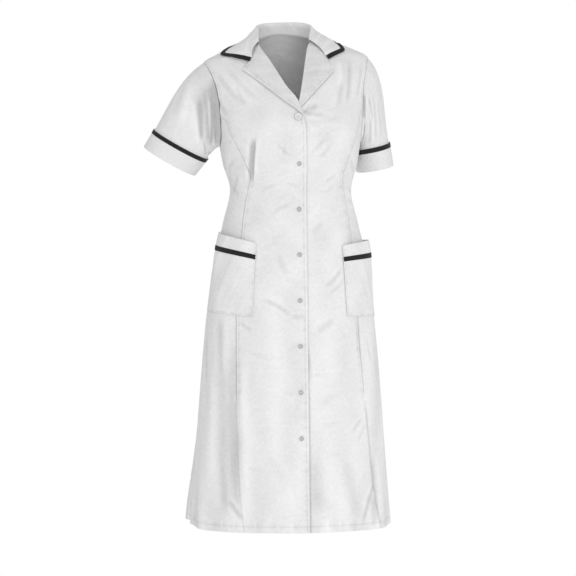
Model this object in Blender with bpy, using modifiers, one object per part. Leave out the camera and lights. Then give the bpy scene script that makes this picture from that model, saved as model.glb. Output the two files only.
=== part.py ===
"""Nurse uniform dress with short sleeves, notched collar and patch pockets, hollow as when it is worn.

Metres, +Z up, the front faces -Y and the wearer's left is at +X. The origin lies midway between the
two points where the shoulder seams meet the neck, which is where the wearer holds the dress up.
Each piece is a cloth wall laid on one garment form: horizontal sections, worked out from the cut.
"""

import math

import bmesh
import bpy
import numpy as np
from mathutils import Matrix

MM = 0.001
CLOTH = 1.2 * MM
RIBBON = 1.0 * MM
SEAM_GAP = 0.4 * MM
LAYER_GAP = 0.35 * MM
LAYER = CLOTH + LAYER_GAP

HEM_Z = -1.066
WAIST_Z = -0.33
SHOULDER_TIP_Z = -0.046
UNDERARM_Z = -0.228
FRONT_TOP_Z = -0.001
BACK_TOP_Z = 0.003
BREAK_Z = -0.178
PLEAT_Z = -0.79
LAP = 16.0 * MM
LAP_AT_BREAK = 12.5 * MM

# The garment form: half width, depth in front, depth behind and squareness of each level section.
SECTION = ("z", "half_width", "front", "back", "square")
SECTIONS = (
    (-1.080, 0.222, 0.162, 0.161, 2.10),
    (-0.950, 0.212, 0.153, 0.154, 2.10),
    (-0.850, 0.204, 0.146, 0.149, 2.10),
    (-0.730, 0.195, 0.138, 0.144, 2.10),
    (-0.620, 0.185, 0.131, 0.139, 2.10),
    (-0.550, 0.177, 0.127, 0.134, 2.10),
    (-0.483, 0.167, 0.122, 0.124, 2.10),
    (-0.400, 0.147, 0.115, 0.109, 2.12),
    (-0.330, 0.132, 0.113, 0.100, 2.18),
    (-0.270, 0.147, 0.119, 0.104, 2.24),
    (-0.200, 0.157, 0.125, 0.112, 2.35),
    (-0.150, 0.166, 0.115, 0.112, 2.40),
    (-0.100, 0.177, 0.098, 0.107, 2.40),
    (-0.070, 0.184, 0.082, 0.101, 2.40),
    (-0.046, 0.182, 0.067, 0.094, 2.30),
    (-0.030, 0.1555, 0.057, 0.086, 2.20),
    (-0.014, 0.119, 0.043, 0.075, 2.10),
    (0.003, 0.066, 0.022, 0.060, 2.00),
)

# Soft vertical folds of the skirt. A depth above 0 stands out and one below 0 is a trough.
FOLD = ("angle_deg", "top_z", "half_width", "depth")
FOLDS = (
    (-60, -0.60, 0.022, -0.0050),
    (-83, -0.84, 0.016, -0.0040),
    (-100, -0.80, 0.022, 0.0110),
    (-30, -0.80, 0.030, -0.0035),
    (36, -0.82, 0.028, -0.0035),
    (76, -0.78, 0.018, -0.0045),
    (-122, -0.66, 0.026, -0.0065),
    (-140, -0.60, 0.028, 0.0070),
    (-160, -0.66, 0.026, -0.0060),
    (160, -0.62, 0.028, -0.0060),
    (138, -0.60, 0.026, 0.0070),
    (115, -0.68, 0.026, -0.0060),
)

# The princess seam on each front, from the armhole to the hem, as a distance from the centre front.
PRINCESS = ("z", "right_x", "left_x")
PRINCESS_SEAMS = (
    (-1.080, 0.116, 0.181),
    (-1.010, 0.125, 0.169),
    (-0.940, 0.130, 0.159),
    (-0.860, 0.133, 0.152),
    (-0.790, 0.1345, 0.145),
    (-0.630, 0.133, 0.133),
    (-0.500, 0.126, 0.126),
    (-0.380, 0.1125, 0.1125),
    (-0.345, 0.106, 0.106),
    (-0.310, 0.101, 0.101),
    (-0.262, 0.116, 0.116),
    (-0.211, 0.1375, 0.1375),
    (-0.180, 0.146, 0.146),
)

# The cut edge of each front above the top button: the line on which the lapel rolls.
ROLL = ("z", "right_x", "left_x")
ROLL_LINES = (
    (-0.178, 0.0125, -0.0125),
    (-0.149, 0.0042, 0.0042),
    (-0.104, -0.0220, 0.0175),
    (-0.052, -0.0460, 0.0320),
    (-0.025, -0.0600, 0.0410),
    (-0.013, -0.0640, 0.0490),
    (0.003, -0.0660, 0.0650),
)

ARMHOLE_STEPS = 12
ARMHOLE_FRONT_DEG = 18.0
ARMHOLE_BACK_DEG = 15.0
PRINCESS_STEP = 7

# Each short sleeve: middle of its hem, tilt of its hem to the side and to the back, and radii.
SLEEVES = {
    "right": dict(
        side=-1, hem=(-0.2620, 0.030, -0.2585), out_deg=32.5, back_deg=14.0,
        across=0.0632, fore=0.050, cap=0.78,
    ),
    "left": dict(
        side=1, hem=(0.1995, 0.050, -0.2800), out_deg=12.0, back_deg=5.0,
        across=0.0368, fore=0.072, cap=0.52,
    ),
}
CUFF_HEIGHT = 0.047
TRIM_WIDTH = 0.010

POCKETS = {
    "right": dict(
        side=-1, top_outer=-0.4235, top_inner=-0.450, low_outer=-0.594, low_inner=-0.608,
        inner_x=(0.0900, 0.1000),
    ),
    "left": dict(
        side=1, top_outer=-0.440, top_inner=-0.454, low_outer=-0.606, low_inner=-0.608,
        inner_x=(0.0965, 0.1050),
    ),
}
POCKET_OUTER_DEG = 88.4
POCKET_BULGE = 0.017
POCKET_BAND = 0.025

BUTTON_TOP_Z = -0.181
BUTTON_PITCH = 0.0979
BUTTON_COUNT = 8
BUTTON_RADIUS = 8.75 * MM
HOLE_RADIUS = 1.0 * MM
HOLE_OFFSET = 1.9 * MM
STUD_RADIUS = 5.0 * MM

LEAN_DEG = 3.0
LEAN_FULL_Z = -0.18

WHITE = (0.86, 0.86, 0.87)
BLACK = (0.012, 0.012, 0.014)
PEARL = (0.80, 0.80, 0.80)


def column(columns, table, name):
    """(heights, values) of one named column, lowest first."""
    rows = sorted(table)
    return np.array([row[0] for row in rows]), np.array([row[columns.index(name)] for row in rows])


def curve_through(knots, values, at):
    """A smooth curve through the knots that never overshoots them."""
    at = np.clip(np.asarray(at, float), knots[0], knots[-1])
    steps = np.diff(knots)
    slopes = np.diff(values) / steps
    same_sign = slopes[:-1] * slopes[1:] > 0
    total = np.where(same_sign, slopes[:-1] + slopes[1:], 1.0)
    inner = np.where(same_sign, 2 * slopes[:-1] * slopes[1:] / total, 0.0)
    bend = np.concatenate([[slopes[0]], inner, [slopes[-1]]])
    i = np.clip(np.searchsorted(knots, at, side="right") - 1, 0, len(knots) - 2)
    t = (at - knots[i]) / steps[i]
    return (
        (1 + 2 * t) * (1 - t) ** 2 * values[i]
        + t * (1 - t) ** 2 * steps[i] * bend[i]
        + t * t * (3 - 2 * t) * values[i + 1]
        + t * t * (t - 1) * steps[i] * bend[i + 1]
    )


def ease(t):
    t = np.clip(t, 0.0, 1.0)
    return t * t * (3 - 2 * t)


def section(name, z):
    return curve_through(*column(SECTION, SECTIONS, name), z)


def bust(phi, z):
    """The fullness that the princess seams give each front."""
    spread = np.radians(26)
    at_apex = np.exp(-(((np.abs(phi) - np.radians(38)) / spread) ** 2))
    return 0.007 * at_apex * np.exp(-(((z + 0.212) / 0.055) ** 2))


def folds(phi, z, radius):
    """How far the skirt's folds stand out from its sections."""
    total = np.zeros(np.broadcast(phi, z).shape)
    for angle_deg, top_z, half_width, depth in FOLDS:
        around = np.angle(np.exp(1j * (phi - math.radians(angle_deg)))) * radius
        grown = ease((top_z - z) / (top_z - HEM_Z))
        width = half_width * (0.6 + 0.6 * grown)
        total = total + depth * grown * np.exp(-((around / width) ** 2))
    return total


def level_point(phi, z):
    """The form's point at an angle from the centre front, towards the wearer's left, and a height."""
    phi, z = np.broadcast_arrays(np.asarray(phi, float), np.asarray(z, float))
    half_width, front, back, square = (section(name, z) for name in SECTION[1:])
    depth = np.where(np.cos(phi) > 0, front, back)
    beside = np.abs(np.sin(phi) / half_width) ** square
    before = np.abs(np.cos(phi) / depth) ** square
    radius = (beside + before) ** (-1 / square)
    radius = radius + bust(phi, z) + folds(phi, z, radius)
    nape = 0.016 * ease((z + 0.05) / 0.053) * np.clip(-np.cos(phi), 0, 1) ** 2
    hem = 0.014 * ease((np.abs(phi) - 1.15) / 0.8) * ease((-0.93 - z) / 0.13)
    return np.stack([radius * np.sin(phi), -radius * np.cos(phi), z + nape + hem], axis=-1)


def form(phi, z, out=0.0):
    """A point of the form, moved out along the form's normal."""
    phi, z = np.broadcast_arrays(np.asarray(phi, float), np.asarray(z, float))
    step = 1e-4
    around = level_point(phi + step, z) - level_point(phi - step, z)
    upward = level_point(phi, z + step) - level_point(phi, z - step)
    normal = np.cross(around, upward)
    normal /= np.linalg.norm(normal, axis=-1, keepdims=True)
    return level_point(phi, z) + normal * np.asarray(out, float)[..., None]


def angle_at(x, z):
    """The angle at which the front of the form is x from its middle."""
    x, z = np.broadcast_arrays(np.asarray(x, float), np.asarray(z, float))
    low = np.full(x.shape, -math.pi / 2)
    high = -low
    for _ in range(40):
        middle = (low + high) / 2
        short = level_point(middle, z)[..., 0] < x
        low = np.where(short, middle, low)
        high = np.where(short, high, middle)
    return (low + high) / 2


def lean(points):
    """The worn dress bends a little to the wearer's right above the waist."""
    points = np.asarray(points, float)
    x, y, z = points[..., 0], points[..., 1], points[..., 2]
    span = LEAN_FULL_Z - WAIST_Z
    share = np.clip((z - WAIST_Z) / span, 0, 1)
    full = math.radians(LEAN_DEG)
    turn = full * share
    middle_x = -full * (span * share**2 / 2 + np.clip(z - LEAN_FULL_Z, 0, None))
    return np.stack([middle_x + x * np.cos(turn), y, z + x * np.sin(turn)], axis=-1)


def make_object(name, mesh, colour, roughness):
    material = bpy.data.materials.new(name + "_finish")
    material.use_nodes = True
    shader = material.node_tree.nodes["Principled BSDF"]
    shader.inputs["Base Color"].default_value = (*colour, 1.0)
    shader.inputs["Roughness"].default_value = roughness
    mesh.materials.append(material)
    obj = bpy.data.objects.new(name, mesh)
    bpy.data.collections["nurse_dress"].objects.link(obj)
    return obj


def raised(grid, out):
    """The same grid moved out along its own normals: a piece that is laid on another one."""
    along_rows = np.gradient(grid, axis=0)
    along_columns = np.gradient(grid, axis=1)
    normal = np.cross(along_columns, along_rows)
    normal /= np.linalg.norm(normal, axis=-1, keepdims=True)
    return grid + normal * out


def wall(name, grid, colour=WHITE, thickness=CLOTH, closed=False, roughness=0.8, cells=None):
    """A cloth wall on a grid of points: rows go up, and columns go round to the wearer's left."""
    grid = lean(grid)
    rows, columns = grid.shape[:2]
    built = bmesh.new()
    points = {}
    for i in range(rows - 1):
        for j in range(columns if closed else columns - 1):
            if cells is not None and not cells(i, j):
                continue
            k = (j + 1) % columns
            corners = ((i, j), (i, k), (i + 1, k), (i + 1, j))
            for corner in corners:
                if corner not in points:
                    points[corner] = built.verts.new(grid[corner])
            built.faces.new([points[corner] for corner in corners])
    mesh = bpy.data.meshes.new(name)
    built.to_mesh(mesh)
    built.free()
    mesh.shade_smooth()
    obj = make_object(name, mesh, colour, roughness)
    solidify = obj.modifiers.new("cloth", "SOLIDIFY")
    solidify.thickness = thickness
    solidify.offset = 1.0
    return obj


def armhole_heights():
    """Heights of the armhole's points, from the underarm up to the shoulder tip."""
    turns = np.linspace(math.pi, 0, ARMHOLE_STEPS + 1)
    middle = (SHOULDER_TIP_Z + UNDERARM_Z) / 2
    return middle + (SHOULDER_TIP_Z - UNDERARM_Z) / 2 * np.cos(turns)


def armhole_angle(z, width_deg):
    """How far the armhole reaches round from the side at each height, in radians."""
    heights = armhole_heights()
    widths = math.radians(width_deg) * np.sin(np.linspace(math.pi, 0, len(heights)))
    return np.interp(z, heights, widths)


SKIRT_ROWS = (
    HEM_Z, -1.02, -0.965, -0.91, -0.855, PLEAT_Z - 0.02, PLEAT_Z, PLEAT_Z + 0.02, -0.72, -0.66, -0.60, -0.545,
    -0.49, -0.44, -0.40, -0.365, WAIST_Z, -0.295, -0.260,
)
SHOULDER_ROWS = (-0.036, -0.026, -0.016, -0.008)


def body_rows(top):
    """Heights shared by all the panels, so that their seams match."""
    heights = np.concatenate([SKIRT_ROWS, armhole_heights(), SHOULDER_ROWS, [FRONT_TOP_Z, BACK_TOP_Z]])
    return heights[heights <= top + 1e-9]


def seam_half(phi, z):
    """Half a seam's gap as an angle."""
    return SEAM_GAP / 2 / np.linalg.norm(level_point(phi, z)[..., :2], axis=-1)


def by_length(z, start, end, shares):
    """Angles at these shares of the way along each level section, from one angle to another."""
    fine = np.linspace(0, 1, 121)
    phi = start[:, None] + (end - start)[:, None] * fine
    points = level_point(phi, z[:, None])[..., :2]
    steps = np.linalg.norm(np.diff(points, axis=1), axis=2)
    length = np.concatenate([np.zeros((len(z), 1)), np.cumsum(steps, axis=1)], axis=1)
    return np.array([np.interp(np.asarray(shares) * way[-1], way, row) for way, row in zip(length, phi)])


def meeting_height():
    """Height of the armhole's point where the princess seam ends."""
    return armhole_heights()[ARMHOLE_STEPS - PRINCESS_STEP]


def princess_angle(side_name, z):
    distance = curve_through(*column(PRINCESS, PRINCESS_SEAMS, side_name + "_x"), z)
    meeting_phi = math.pi / 2 - armhole_angle(meeting_height(), ARMHOLE_FRONT_DEG)
    knot_z = PRINCESS_SEAMS[-1][0]
    drawn = angle_at(distance, np.minimum(z, knot_z))
    share = np.clip((z - knot_z) / (meeting_height() - knot_z), 0, 1)
    return drawn + (meeting_phi - drawn) * share


def outer_front_angle(side_name, z):
    """The centre front's outer edge: princess seam, then armhole, then shoulder seam."""
    along_armhole = math.pi / 2 - armhole_angle(z, ARMHOLE_FRONT_DEG)
    edge = np.where(z < meeting_height() - 1e-9, princess_angle(side_name, z), along_armhole)
    return edge - seam_half(edge, z)


def front_edge_x(side_name, z):
    """The cut edge next to the centre front, as x, for the front of that side."""
    rolled = curve_through(*column(ROLL, ROLL_LINES, side_name + "_x"), z)
    sign = 1 if side_name == "right" else -1
    share = ease((z - (BREAK_Z - 0.03)) / 0.03)
    lapped = sign * (LAP + (LAP_AT_BREAK - LAP) * share)
    return np.where(z < BREAK_Z, lapped, rolled)


def lap_lift(x, z):
    """How far the right front is raised where it laps over the left one."""
    under_edge = front_edge_x("left", z)
    height = LAYER + 0.25 * MM + 2.2 * MM * ease((z + 0.225) / 0.045)
    return height * ease((x - under_edge + 0.035) / 0.033)


def pleat_lift(z):
    """The open pleat's folded edge stands a little proud of the side panel."""
    return 3.0 * MM * ease((PLEAT_Z - 0.03 - z) / 0.18)


def front_grid(side_name, z, near_edge):
    """Angles and lifts of a centre front, from the outer edge to the cut edge."""
    side = -1 if side_name == "right" else 1
    outer = side * outer_front_angle(side_name, z)
    inner_x = front_edge_x(side_name, z)
    room = np.abs(level_point(outer, z)[..., 0] - inner_x)
    near = np.asarray(near_edge)[None, :] * np.minimum(1, 0.62 * room / near_edge[0])[:, None]
    fine = angle_at(inner_x[:, None] + side * near, z[:, None])
    broad = by_length(z, outer, fine[:, 0], np.linspace(0, 1, 7)[:-1] ** 1.2)
    phi = np.concatenate([broad, fine], axis=1)
    x = level_point(phi, z[:, None])[..., 0]
    lift = lap_lift(x, z[:, None]) if side_name == "right" else np.zeros_like(x)
    fold = np.exp(-(((np.abs(phi) - np.abs(outer)[:, None]) * 0.19 / 0.012) ** 2))
    return phi, lift + pleat_lift(z)[:, None] * fold


def make_centre_front(side_name):
    z = body_rows(FRONT_TOP_Z)
    near_right = (4.2 * LAP, 3.3 * LAP, 2.6 * LAP, 2 * LAP, LAP, 0.0)
    near_left = (3.6 * LAP, 2 * LAP, LAP, 0.0)
    phi, lift = front_grid(side_name, z, near_right if side_name == "right" else near_left)
    grid = form(phi, z[:, None], lift)
    if side_name == "left":
        grid = grid[:, ::-1]
    wall("front_" + side_name, grid)


def make_side_front(side_name):
    """The side panel from the princess seam to the side seam. Its edge is the pleat's underlay."""
    side = -1 if side_name == "right" else 1
    z = body_rows(meeting_height())
    side_seam = math.pi / 2 - np.where(z > UNDERARM_Z + 1e-9, armhole_angle(z, ARMHOLE_FRONT_DEG), 0.0)
    side_seam = side_seam - seam_half(side_seam, z)
    seam = princess_angle(side_name, z)
    radius = np.linalg.norm(level_point(seam, z)[..., :2], axis=-1)
    underlay = 0.024 * ease((PLEAT_Z - z) / 0.065) / radius
    inner = seam + seam_half(seam, z)
    inner[-1] = side_seam[-1] = (inner[-1] + side_seam[-1]) / 2
    phi = by_length(z, inner, side_seam, (0, 0.06, 0.24, 0.43, 0.62, 0.81, 1.0))
    phi[:, 0] -= underlay
    phi[:, 1] -= underlay / 2
    sunk = LAYER * ease((PLEAT_Z + 0.025 - z) / 0.02)
    beyond = (phi - seam[:, None]) * 0.19
    lift = -sunk[:, None] * (1 - ease((beyond - 0.002) / 0.012))
    grid = form(side * phi, z[:, None], lift)
    grid[-1] = grid[-2] * 0.3 + grid[-1] * 0.7
    if side < 0:
        grid = grid[:, ::-1]
    wall("side_front_" + side_name, grid)


def make_back():
    z = body_rows(BACK_TOP_Z)
    in_armhole = (z > UNDERARM_Z + 1e-9) & (z < SHOULDER_TIP_Z - 1e-9)
    side_seam = math.pi / 2 + np.where(in_armhole, armhole_angle(z, ARMHOLE_BACK_DEG), 0.0)
    side_seam = side_seam + seam_half(side_seam, z)
    shares = np.linspace(0, 1, 11)
    half = by_length(z, side_seam, np.full(len(z), math.pi), shares**1.15)
    phi = np.concatenate([half, 2 * math.pi - half[:, -2::-1]], axis=1)
    wall("back", form(phi, z[:, None]))


def armhole_ring(side, count=2 * ARMHOLE_STEPS):
    """Points of the armhole: from the shoulder tip over the front to the underarm, and up the back."""
    turn = np.arange(count) * 2 * math.pi / count
    middle = (SHOULDER_TIP_Z + UNDERARM_Z) / 2
    z = middle + (SHOULDER_TIP_Z - UNDERARM_Z) / 2 * np.cos(turn)
    reach = np.where(np.sin(turn) > 0, ARMHOLE_FRONT_DEG, ARMHOLE_BACK_DEG)
    phi = math.pi / 2 - np.radians(reach) * np.sin(turn)
    return turn, form(side * phi, z)


def sleeve_frame(sleeve):
    """The hem ring's middle, the way out of the sleeve, and its directions across and to the front."""
    side = sleeve["side"]
    out, back = math.radians(sleeve["out_deg"]), math.radians(sleeve["back_deg"])
    axis = np.array([side * math.sin(out), math.tan(back), -math.cos(out)])
    axis /= np.linalg.norm(axis)
    across = np.array([side * math.cos(out), 0.0, math.sin(out)])
    fore = np.cross(axis, across)
    fore *= -np.sign(fore[1])
    return np.array(sleeve["hem"]), axis, across, fore


def hem_ring(sleeve, turn, up, grow=0.0):
    """A ring of the sleeve's straight lower part, a given way up from its hem."""
    middle, axis, across, fore = sleeve_frame(sleeve)
    widen = 1 + 0.04 * up / CUFF_HEIGHT
    cos, sin = np.cos(turn)[..., None], np.sin(turn)[..., None]
    ring = across * cos * (sleeve["across"] * widen + grow) + fore * sin * (sleeve["fore"] * widen + grow)
    return middle - axis * up + ring


def sleeve_grid(sleeve, rows=9):
    """Rings from the armhole to the hem. The cap leaves the shoulder along its slope."""
    side = sleeve["side"]
    turn, start = armhole_ring(side)
    end = hem_ring(sleeve, turn, CUFF_HEIGHT)
    axis = sleeve_frame(sleeve)[1]
    chord = end - start
    length = np.linalg.norm(chord, axis=-1, keepdims=True)
    slope = math.radians(23.5)
    shoulder = np.array([side * math.cos(slope), 0.0, -math.sin(slope)])
    top = ((1 + np.cos(turn)) / 2)[:, None]
    top_share = sleeve["cap"] * top**1.3
    away = np.array([side * 0.75, 0.0, 0.0]) * (1 - top) ** 0.7
    leave = chord / length * (1 - top_share) + shoulder * top_share + away
    leave /= np.linalg.norm(leave, axis=-1, keepdims=True)
    start = start + leave * (SEAM_GAP + 2.2 * MM * (1 - top))
    rings = []
    for s in np.linspace(0, 1, rows):
        rings.append(
            (1 + 2 * s) * (1 - s) ** 2 * start
            + s * (1 - s) ** 2 * leave * length
            + s * s * (3 - 2 * s) * end
            + s * s * (s - 1) * axis * length
        )
    rings.append(hem_ring(sleeve, turn, CUFF_HEIGHT / 2))
    rings.append(hem_ring(sleeve, turn, 0.0))
    return turn, np.array(rings)


def outward_rings(side, rings):
    """Turns a stack of rings so that the wall's faces point out."""
    return rings if side < 0 else rings[:, ::-1]


def make_sleeve(side_name):
    sleeve = SLEEVES[side_name]
    side = sleeve["side"]
    turn, rings = sleeve_grid(sleeve)
    wall("sleeve_" + side_name, outward_rings(side, rings), closed=True)
    ups = (-1.5 * MM, CUFF_HEIGHT - TRIM_WIDTH, CUFF_HEIGHT)
    cuff = np.array([hem_ring(sleeve, turn, up, 1.2 * LAYER) for up in ups[::-1]])
    wall("cuff_" + side_name, outward_rings(side, cuff), closed=True)
    trim = np.array([hem_ring(sleeve, turn, up, 2.2 * LAYER) for up in ups[:0:-1]])
    wall("cuff_trim_" + side_name, outward_rings(side, trim), BLACK, RIBBON, closed=True)


def pocket_point(pocket, u, v):
    """A point of the pocket: u from the inner edge to the side seam, v from its foot to its mouth."""
    top = pocket["top_inner"] + (pocket["top_outer"] - pocket["top_inner"]) * u
    low = pocket["low_inner"] + (pocket["low_outer"] - pocket["low_inner"]) * u
    z = low + (top - low) * v
    top_x, low_x = pocket["inner_x"]
    inner_x = low_x + (top_x - low_x) * v
    inner = angle_at(inner_x, z)
    phi = inner + (math.radians(POCKET_OUTER_DEG) - inner) * u
    gape = POCKET_BULGE * np.sin(math.pi * np.clip(u, 0, 1)) ** 0.9 * ease((v - 0.1) / 0.9)
    return form(pocket["side"] * phi, z, LAYER + 0.4 * MM + gape)


def make_pocket(side_name):
    pocket = POCKETS[side_name]
    height = pocket["top_inner"] - pocket["low_inner"]
    band = 1 - POCKET_BAND / height
    strip = band - TRIM_WIDTH / height
    u = np.linspace(0, 1, 9)[None, :]
    v = np.append(np.linspace(0, strip, 5), [band, 1.0])[:, None]
    grid = pocket_point(pocket, u, v)
    if pocket["side"] < 0:
        grid = grid[:, ::-1]
    wall("pocket_" + side_name, grid)
    wall("pocket_trim_" + side_name, raised(grid, LAYER)[4:6], BLACK, RIBBON)


# Corners of each lapel, as (x, z) on its front. The collar's fall meets it at the notch.
CORNERS = {
    "right": dict(gorge=(0.0640, -0.013), notch=(0.0835, -0.0455), lapel=(0.1070, -0.0700)),
    "left": dict(gorge=(0.0490, -0.013), notch=(0.0775, -0.0475), lapel=(0.0895, -0.0810)),
}


def lapel_outline(side_name, roll_z, t):
    """(x, z) on the lapel: at a height of its roll line, and t from there to its outer edge."""
    side = -1 if side_name == "right" else 1
    corner = CORNERS[side_name]
    low, high = BREAK_Z, corner["gorge"][1]
    s = np.clip((roll_z - low) / (high - low), 0, 1)
    roll_x = side * front_edge_x(side_name, roll_z)
    start_x = side * front_edge_x(side_name, np.full_like(s, low))
    outer_x = start_x + (corner["lapel"][0] - start_x) * s
    outer_z = low + (corner["lapel"][1] - low) * s
    x = roll_x + (outer_x - roll_x) * t
    z = roll_z + (outer_z - roll_z) * t
    at_notch = 0.62
    before = np.clip(t / at_notch, 0, 1)
    after = np.clip((t - at_notch) / (1 - at_notch), 0, 1)
    pull = s**4
    for axis, value in ((0, x), (1, z)):
        gorge, notch, tip = corner["gorge"][axis], corner["notch"][axis], corner["lapel"][axis]
        bent = gorge + (notch - gorge) * before + (tip - notch) * after
        value += (bent - (gorge + (tip - gorge) * t)) * pull
    return side * x, z


def make_lapel(side_name):
    """The turned-back top of the front. Its inner edge rolls round the cut edge of the front."""
    side = -1 if side_name == "right" else 1
    corner = CORNERS[side_name]
    heights = body_rows(corner["gorge"][1] - 0.002)
    lowest = BREAK_Z + (0.001 if side_name == "right" else 0.010)
    roll_z = np.append(heights[heights > lowest], corner["gorge"][1])
    if side_name == "right":
        roll_z = np.append(BREAK_Z + 0.003, roll_z)
    t = np.array([0.0, 0.12, 0.3, 0.5, 0.7, 0.86, 1.0])[None, :]
    roll, t = np.broadcast_arrays(roll_z[:, None], t)
    x, z = lapel_outline(side_name, roll, t)
    under = lap_lift(x, z) if side_name == "right" else np.zeros_like(x)
    s = (roll - BREAK_Z) / (corner["gorge"][1] - BREAK_Z)
    puff = 1.6 * MM * np.sin(math.pi * t) ** 0.7 * np.clip(2 * s - 0.3, 0, 1)
    over = form(angle_at(x, z), z, 1.2 * under + LAYER + 0.3 * MM + puff)
    roll_x, roll_under = x[:, 0], under[:, 0]
    beside = form(angle_at(roll_x - side * 0.6 * MM, roll_z), roll_z, roll_under + CLOTH / 2)
    grid = np.concatenate([beside[:, None], over], axis=1)
    if side < 0:
        grid = grid[:, ::-1]
    wall("lapel_" + side_name, grid)


# The collar from the centre back (along 0) to its front end (along 1), for the wearer's left half.
NECK = ("along", "seam_deg", "seam_z", "roll_x", "roll_y", "roll_z", "fall_deg", "fall_z")
NECK_ROWS = (
    (0.00, 180, 0.003, 0.0000, 0.056, 0.0445, 180.0, -0.0200),
    (0.22, 154, 0.003, 0.0270, 0.050, 0.0430, 152.0, -0.0185),
    (0.48, 122, 0.003, 0.0490, 0.030, 0.0380, 121.0, -0.0130),
    (0.72, 90, 0.003, 0.0580, -0.002, 0.0270, 94.0, -0.0065),
    (0.88, 66, -0.004, 0.0570, -0.026, 0.0100, 82.0, -0.0135),
    (1.00, 50, -0.0105, 0.0560, -0.041, -0.0060, 73.5, -0.0310),
)
COLLAR_COLUMNS = (
    0.0, 0.09, 0.18, 0.27, 0.36, 0.44, 0.52, 0.59, 0.66, 0.72, 0.78, 0.84, 0.89, 0.94, 1.0,
)
COLLAR_ROWS = (0.0, 0.5, 0.85, 1.0, 1.15, 1.45, 1.76, 2.075, 2.40, 2.73, 3.0)
FRONT_SHIFT = 0.0080


def collar_point(along, across):
    """A point of the collar: along from -1 at the right front to 1 at the left, and across it.

    Across runs 0 at the neck seam, 1 at the roll, and from there over the fall to 3 at its edge.
    """
    along, across = np.broadcast_arrays(np.asarray(along, float), np.asarray(across, float))
    half, side = np.abs(along), np.where(along < 0, -1, 1)
    value = {name: curve_through(*column(NECK, NECK_ROWS, name), half) for name in NECK[1:]}
    front = ease((half - 0.72) / 0.28)
    end = np.clip((half - 0.78) / 0.22, 0, 1)[..., None]
    cut_x = np.where(side < 0, -front_edge_x("right", value["seam_z"]), front_edge_x("left", value["seam_z"]))
    cut_phi = angle_at(cut_x - 1.0 * MM, value["seam_z"])
    seam_phi = np.radians(value["seam_deg"])
    seam_phi = np.where(half > 0.72, seam_phi + (cut_phi - seam_phi) * ease((half - 0.72) / 0.1), seam_phi)
    up = np.array([0.0, 0.0, 1.0])
    seam = form(side * seam_phi, value["seam_z"], -0.8 * MM) + up * (SEAM_GAP + 0.2 * MM)
    roll_x = side * value["roll_x"] - FRONT_SHIFT * front
    roll = np.stack([roll_x, value["roll_y"], value["roll_z"]], axis=-1)
    away = roll - np.array([0.0, 0.012, 0.0])
    away[..., 2] = 0
    away /= np.linalg.norm(away, axis=-1, keepdims=True)
    thick = 3.0 * MM * (1 - 0.5 * end)
    rolled_in = roll - up * 1.2 * thick
    rolled_out = roll + away * 1.7 * thick - up * 0.9 * thick
    keys = np.stack([seam, (seam + rolled_in) / 2, rolled_in, roll + away * 0.8 * thick, rolled_out], axis=0)
    inner = np.empty(along.shape + (3,))
    for axis in range(3):
        inner[..., axis] = piecewise(np.array([0.0, 0.5, 0.85, 1.0, 1.15]), keys[..., axis], across)
    t = np.clip((across - 1.15) / 1.85, 0, 1)
    tip_phi = np.radians(value["fall_deg"] - 3.6 * side * front)
    to_notch_x = np.where(side < 0, CORNERS["right"]["notch"][0], CORNERS["left"]["notch"][0])
    to_notch_z = np.where(side < 0, CORNERS["right"]["notch"][1], CORNERS["left"]["notch"][1]) + 1.2 * MM
    notch_phi = angle_at(to_notch_x, to_notch_z)
    straight_phi = seam_phi + (tip_phi - seam_phi) * t
    straight_z = value["seam_z"] + (value["fall_z"] - value["seam_z"]) * t
    at_notch = 0.5
    before = np.clip(t / at_notch, 0, 1)
    after = np.clip((t - at_notch) / (1 - at_notch), 0, 1)
    bent_phi = seam_phi + (notch_phi - seam_phi) * before + (tip_phi - notch_phi) * after
    bent_z = value["seam_z"] + (to_notch_z - value["seam_z"]) * before
    bent_z = bent_z + (value["fall_z"] - to_notch_z) * after
    fall_phi = straight_phi + (bent_phi - straight_phi) * end[..., 0]
    fall_z = straight_z + (bent_z - straight_z) * end[..., 0]
    base = form(side * fall_phi, fall_z, LAYER + 1.2 * MM)
    raise_by = rolled_out - form(side * seam_phi, value["seam_z"], LAYER + 1.2 * MM)
    fall = base + raise_by * ((1 - t) ** 1.15)[..., None]
    return np.where(across[..., None] <= 1.15, inner, fall)


def piecewise(knots, keys, at):
    """Straight stretches between keys, one set of keys for each point."""
    at = np.clip(at, knots[0], knots[-1])
    i = np.clip(np.searchsorted(knots, at, side="right") - 1, 0, len(knots) - 2)
    t = (at - knots[i]) / (knots[i + 1] - knots[i])
    first = np.take_along_axis(keys, i[None], axis=0)[0]
    second = np.take_along_axis(keys, i[None] + 1, axis=0)[0]
    return first + (second - first) * t


def make_collar():
    half = np.array(COLLAR_COLUMNS)
    along = np.concatenate([-half[:0:-1], half])[None, :]
    across = np.array(COLLAR_ROWS)[:, None]
    grid = collar_point(along, across)
    wall("collar", grid)
    last_row, last_column = grid.shape[0] - 2, grid.shape[1] - 2

    def on_edge(i, j):
        """The outermost row of the fall, and its two ends as far as the notch."""
        return i == last_row or (i > last_row - 3 and j in (0, last_column))

    wall("collar_trim", raised(grid, LAYER + 0.3 * MM), BLACK, RIBBON, cells=on_edge)


def place_on_front(obj, z, lift):
    """Sets a turned piece on the centre front, with its axis along the cloth's normal."""
    step = 1e-3
    base = lean(form(0.0, z, lap_lift(0.0, z) + CLOTH + lift))
    upward = lean(form(0.0, z + step, 0.0)) - lean(form(0.0, z - step, 0.0))
    upward /= np.linalg.norm(upward)
    sideways = np.array([1.0, 0.0, 0.0]) - upward * upward[0]
    sideways /= np.linalg.norm(sideways)
    outward = np.cross(sideways, upward)
    turn = np.eye(4)
    turn[:3, 0], turn[:3, 1], turn[:3, 2], turn[:3, 3] = sideways, upward, outward, base
    obj.matrix_world = Matrix(turn.tolist())


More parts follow.
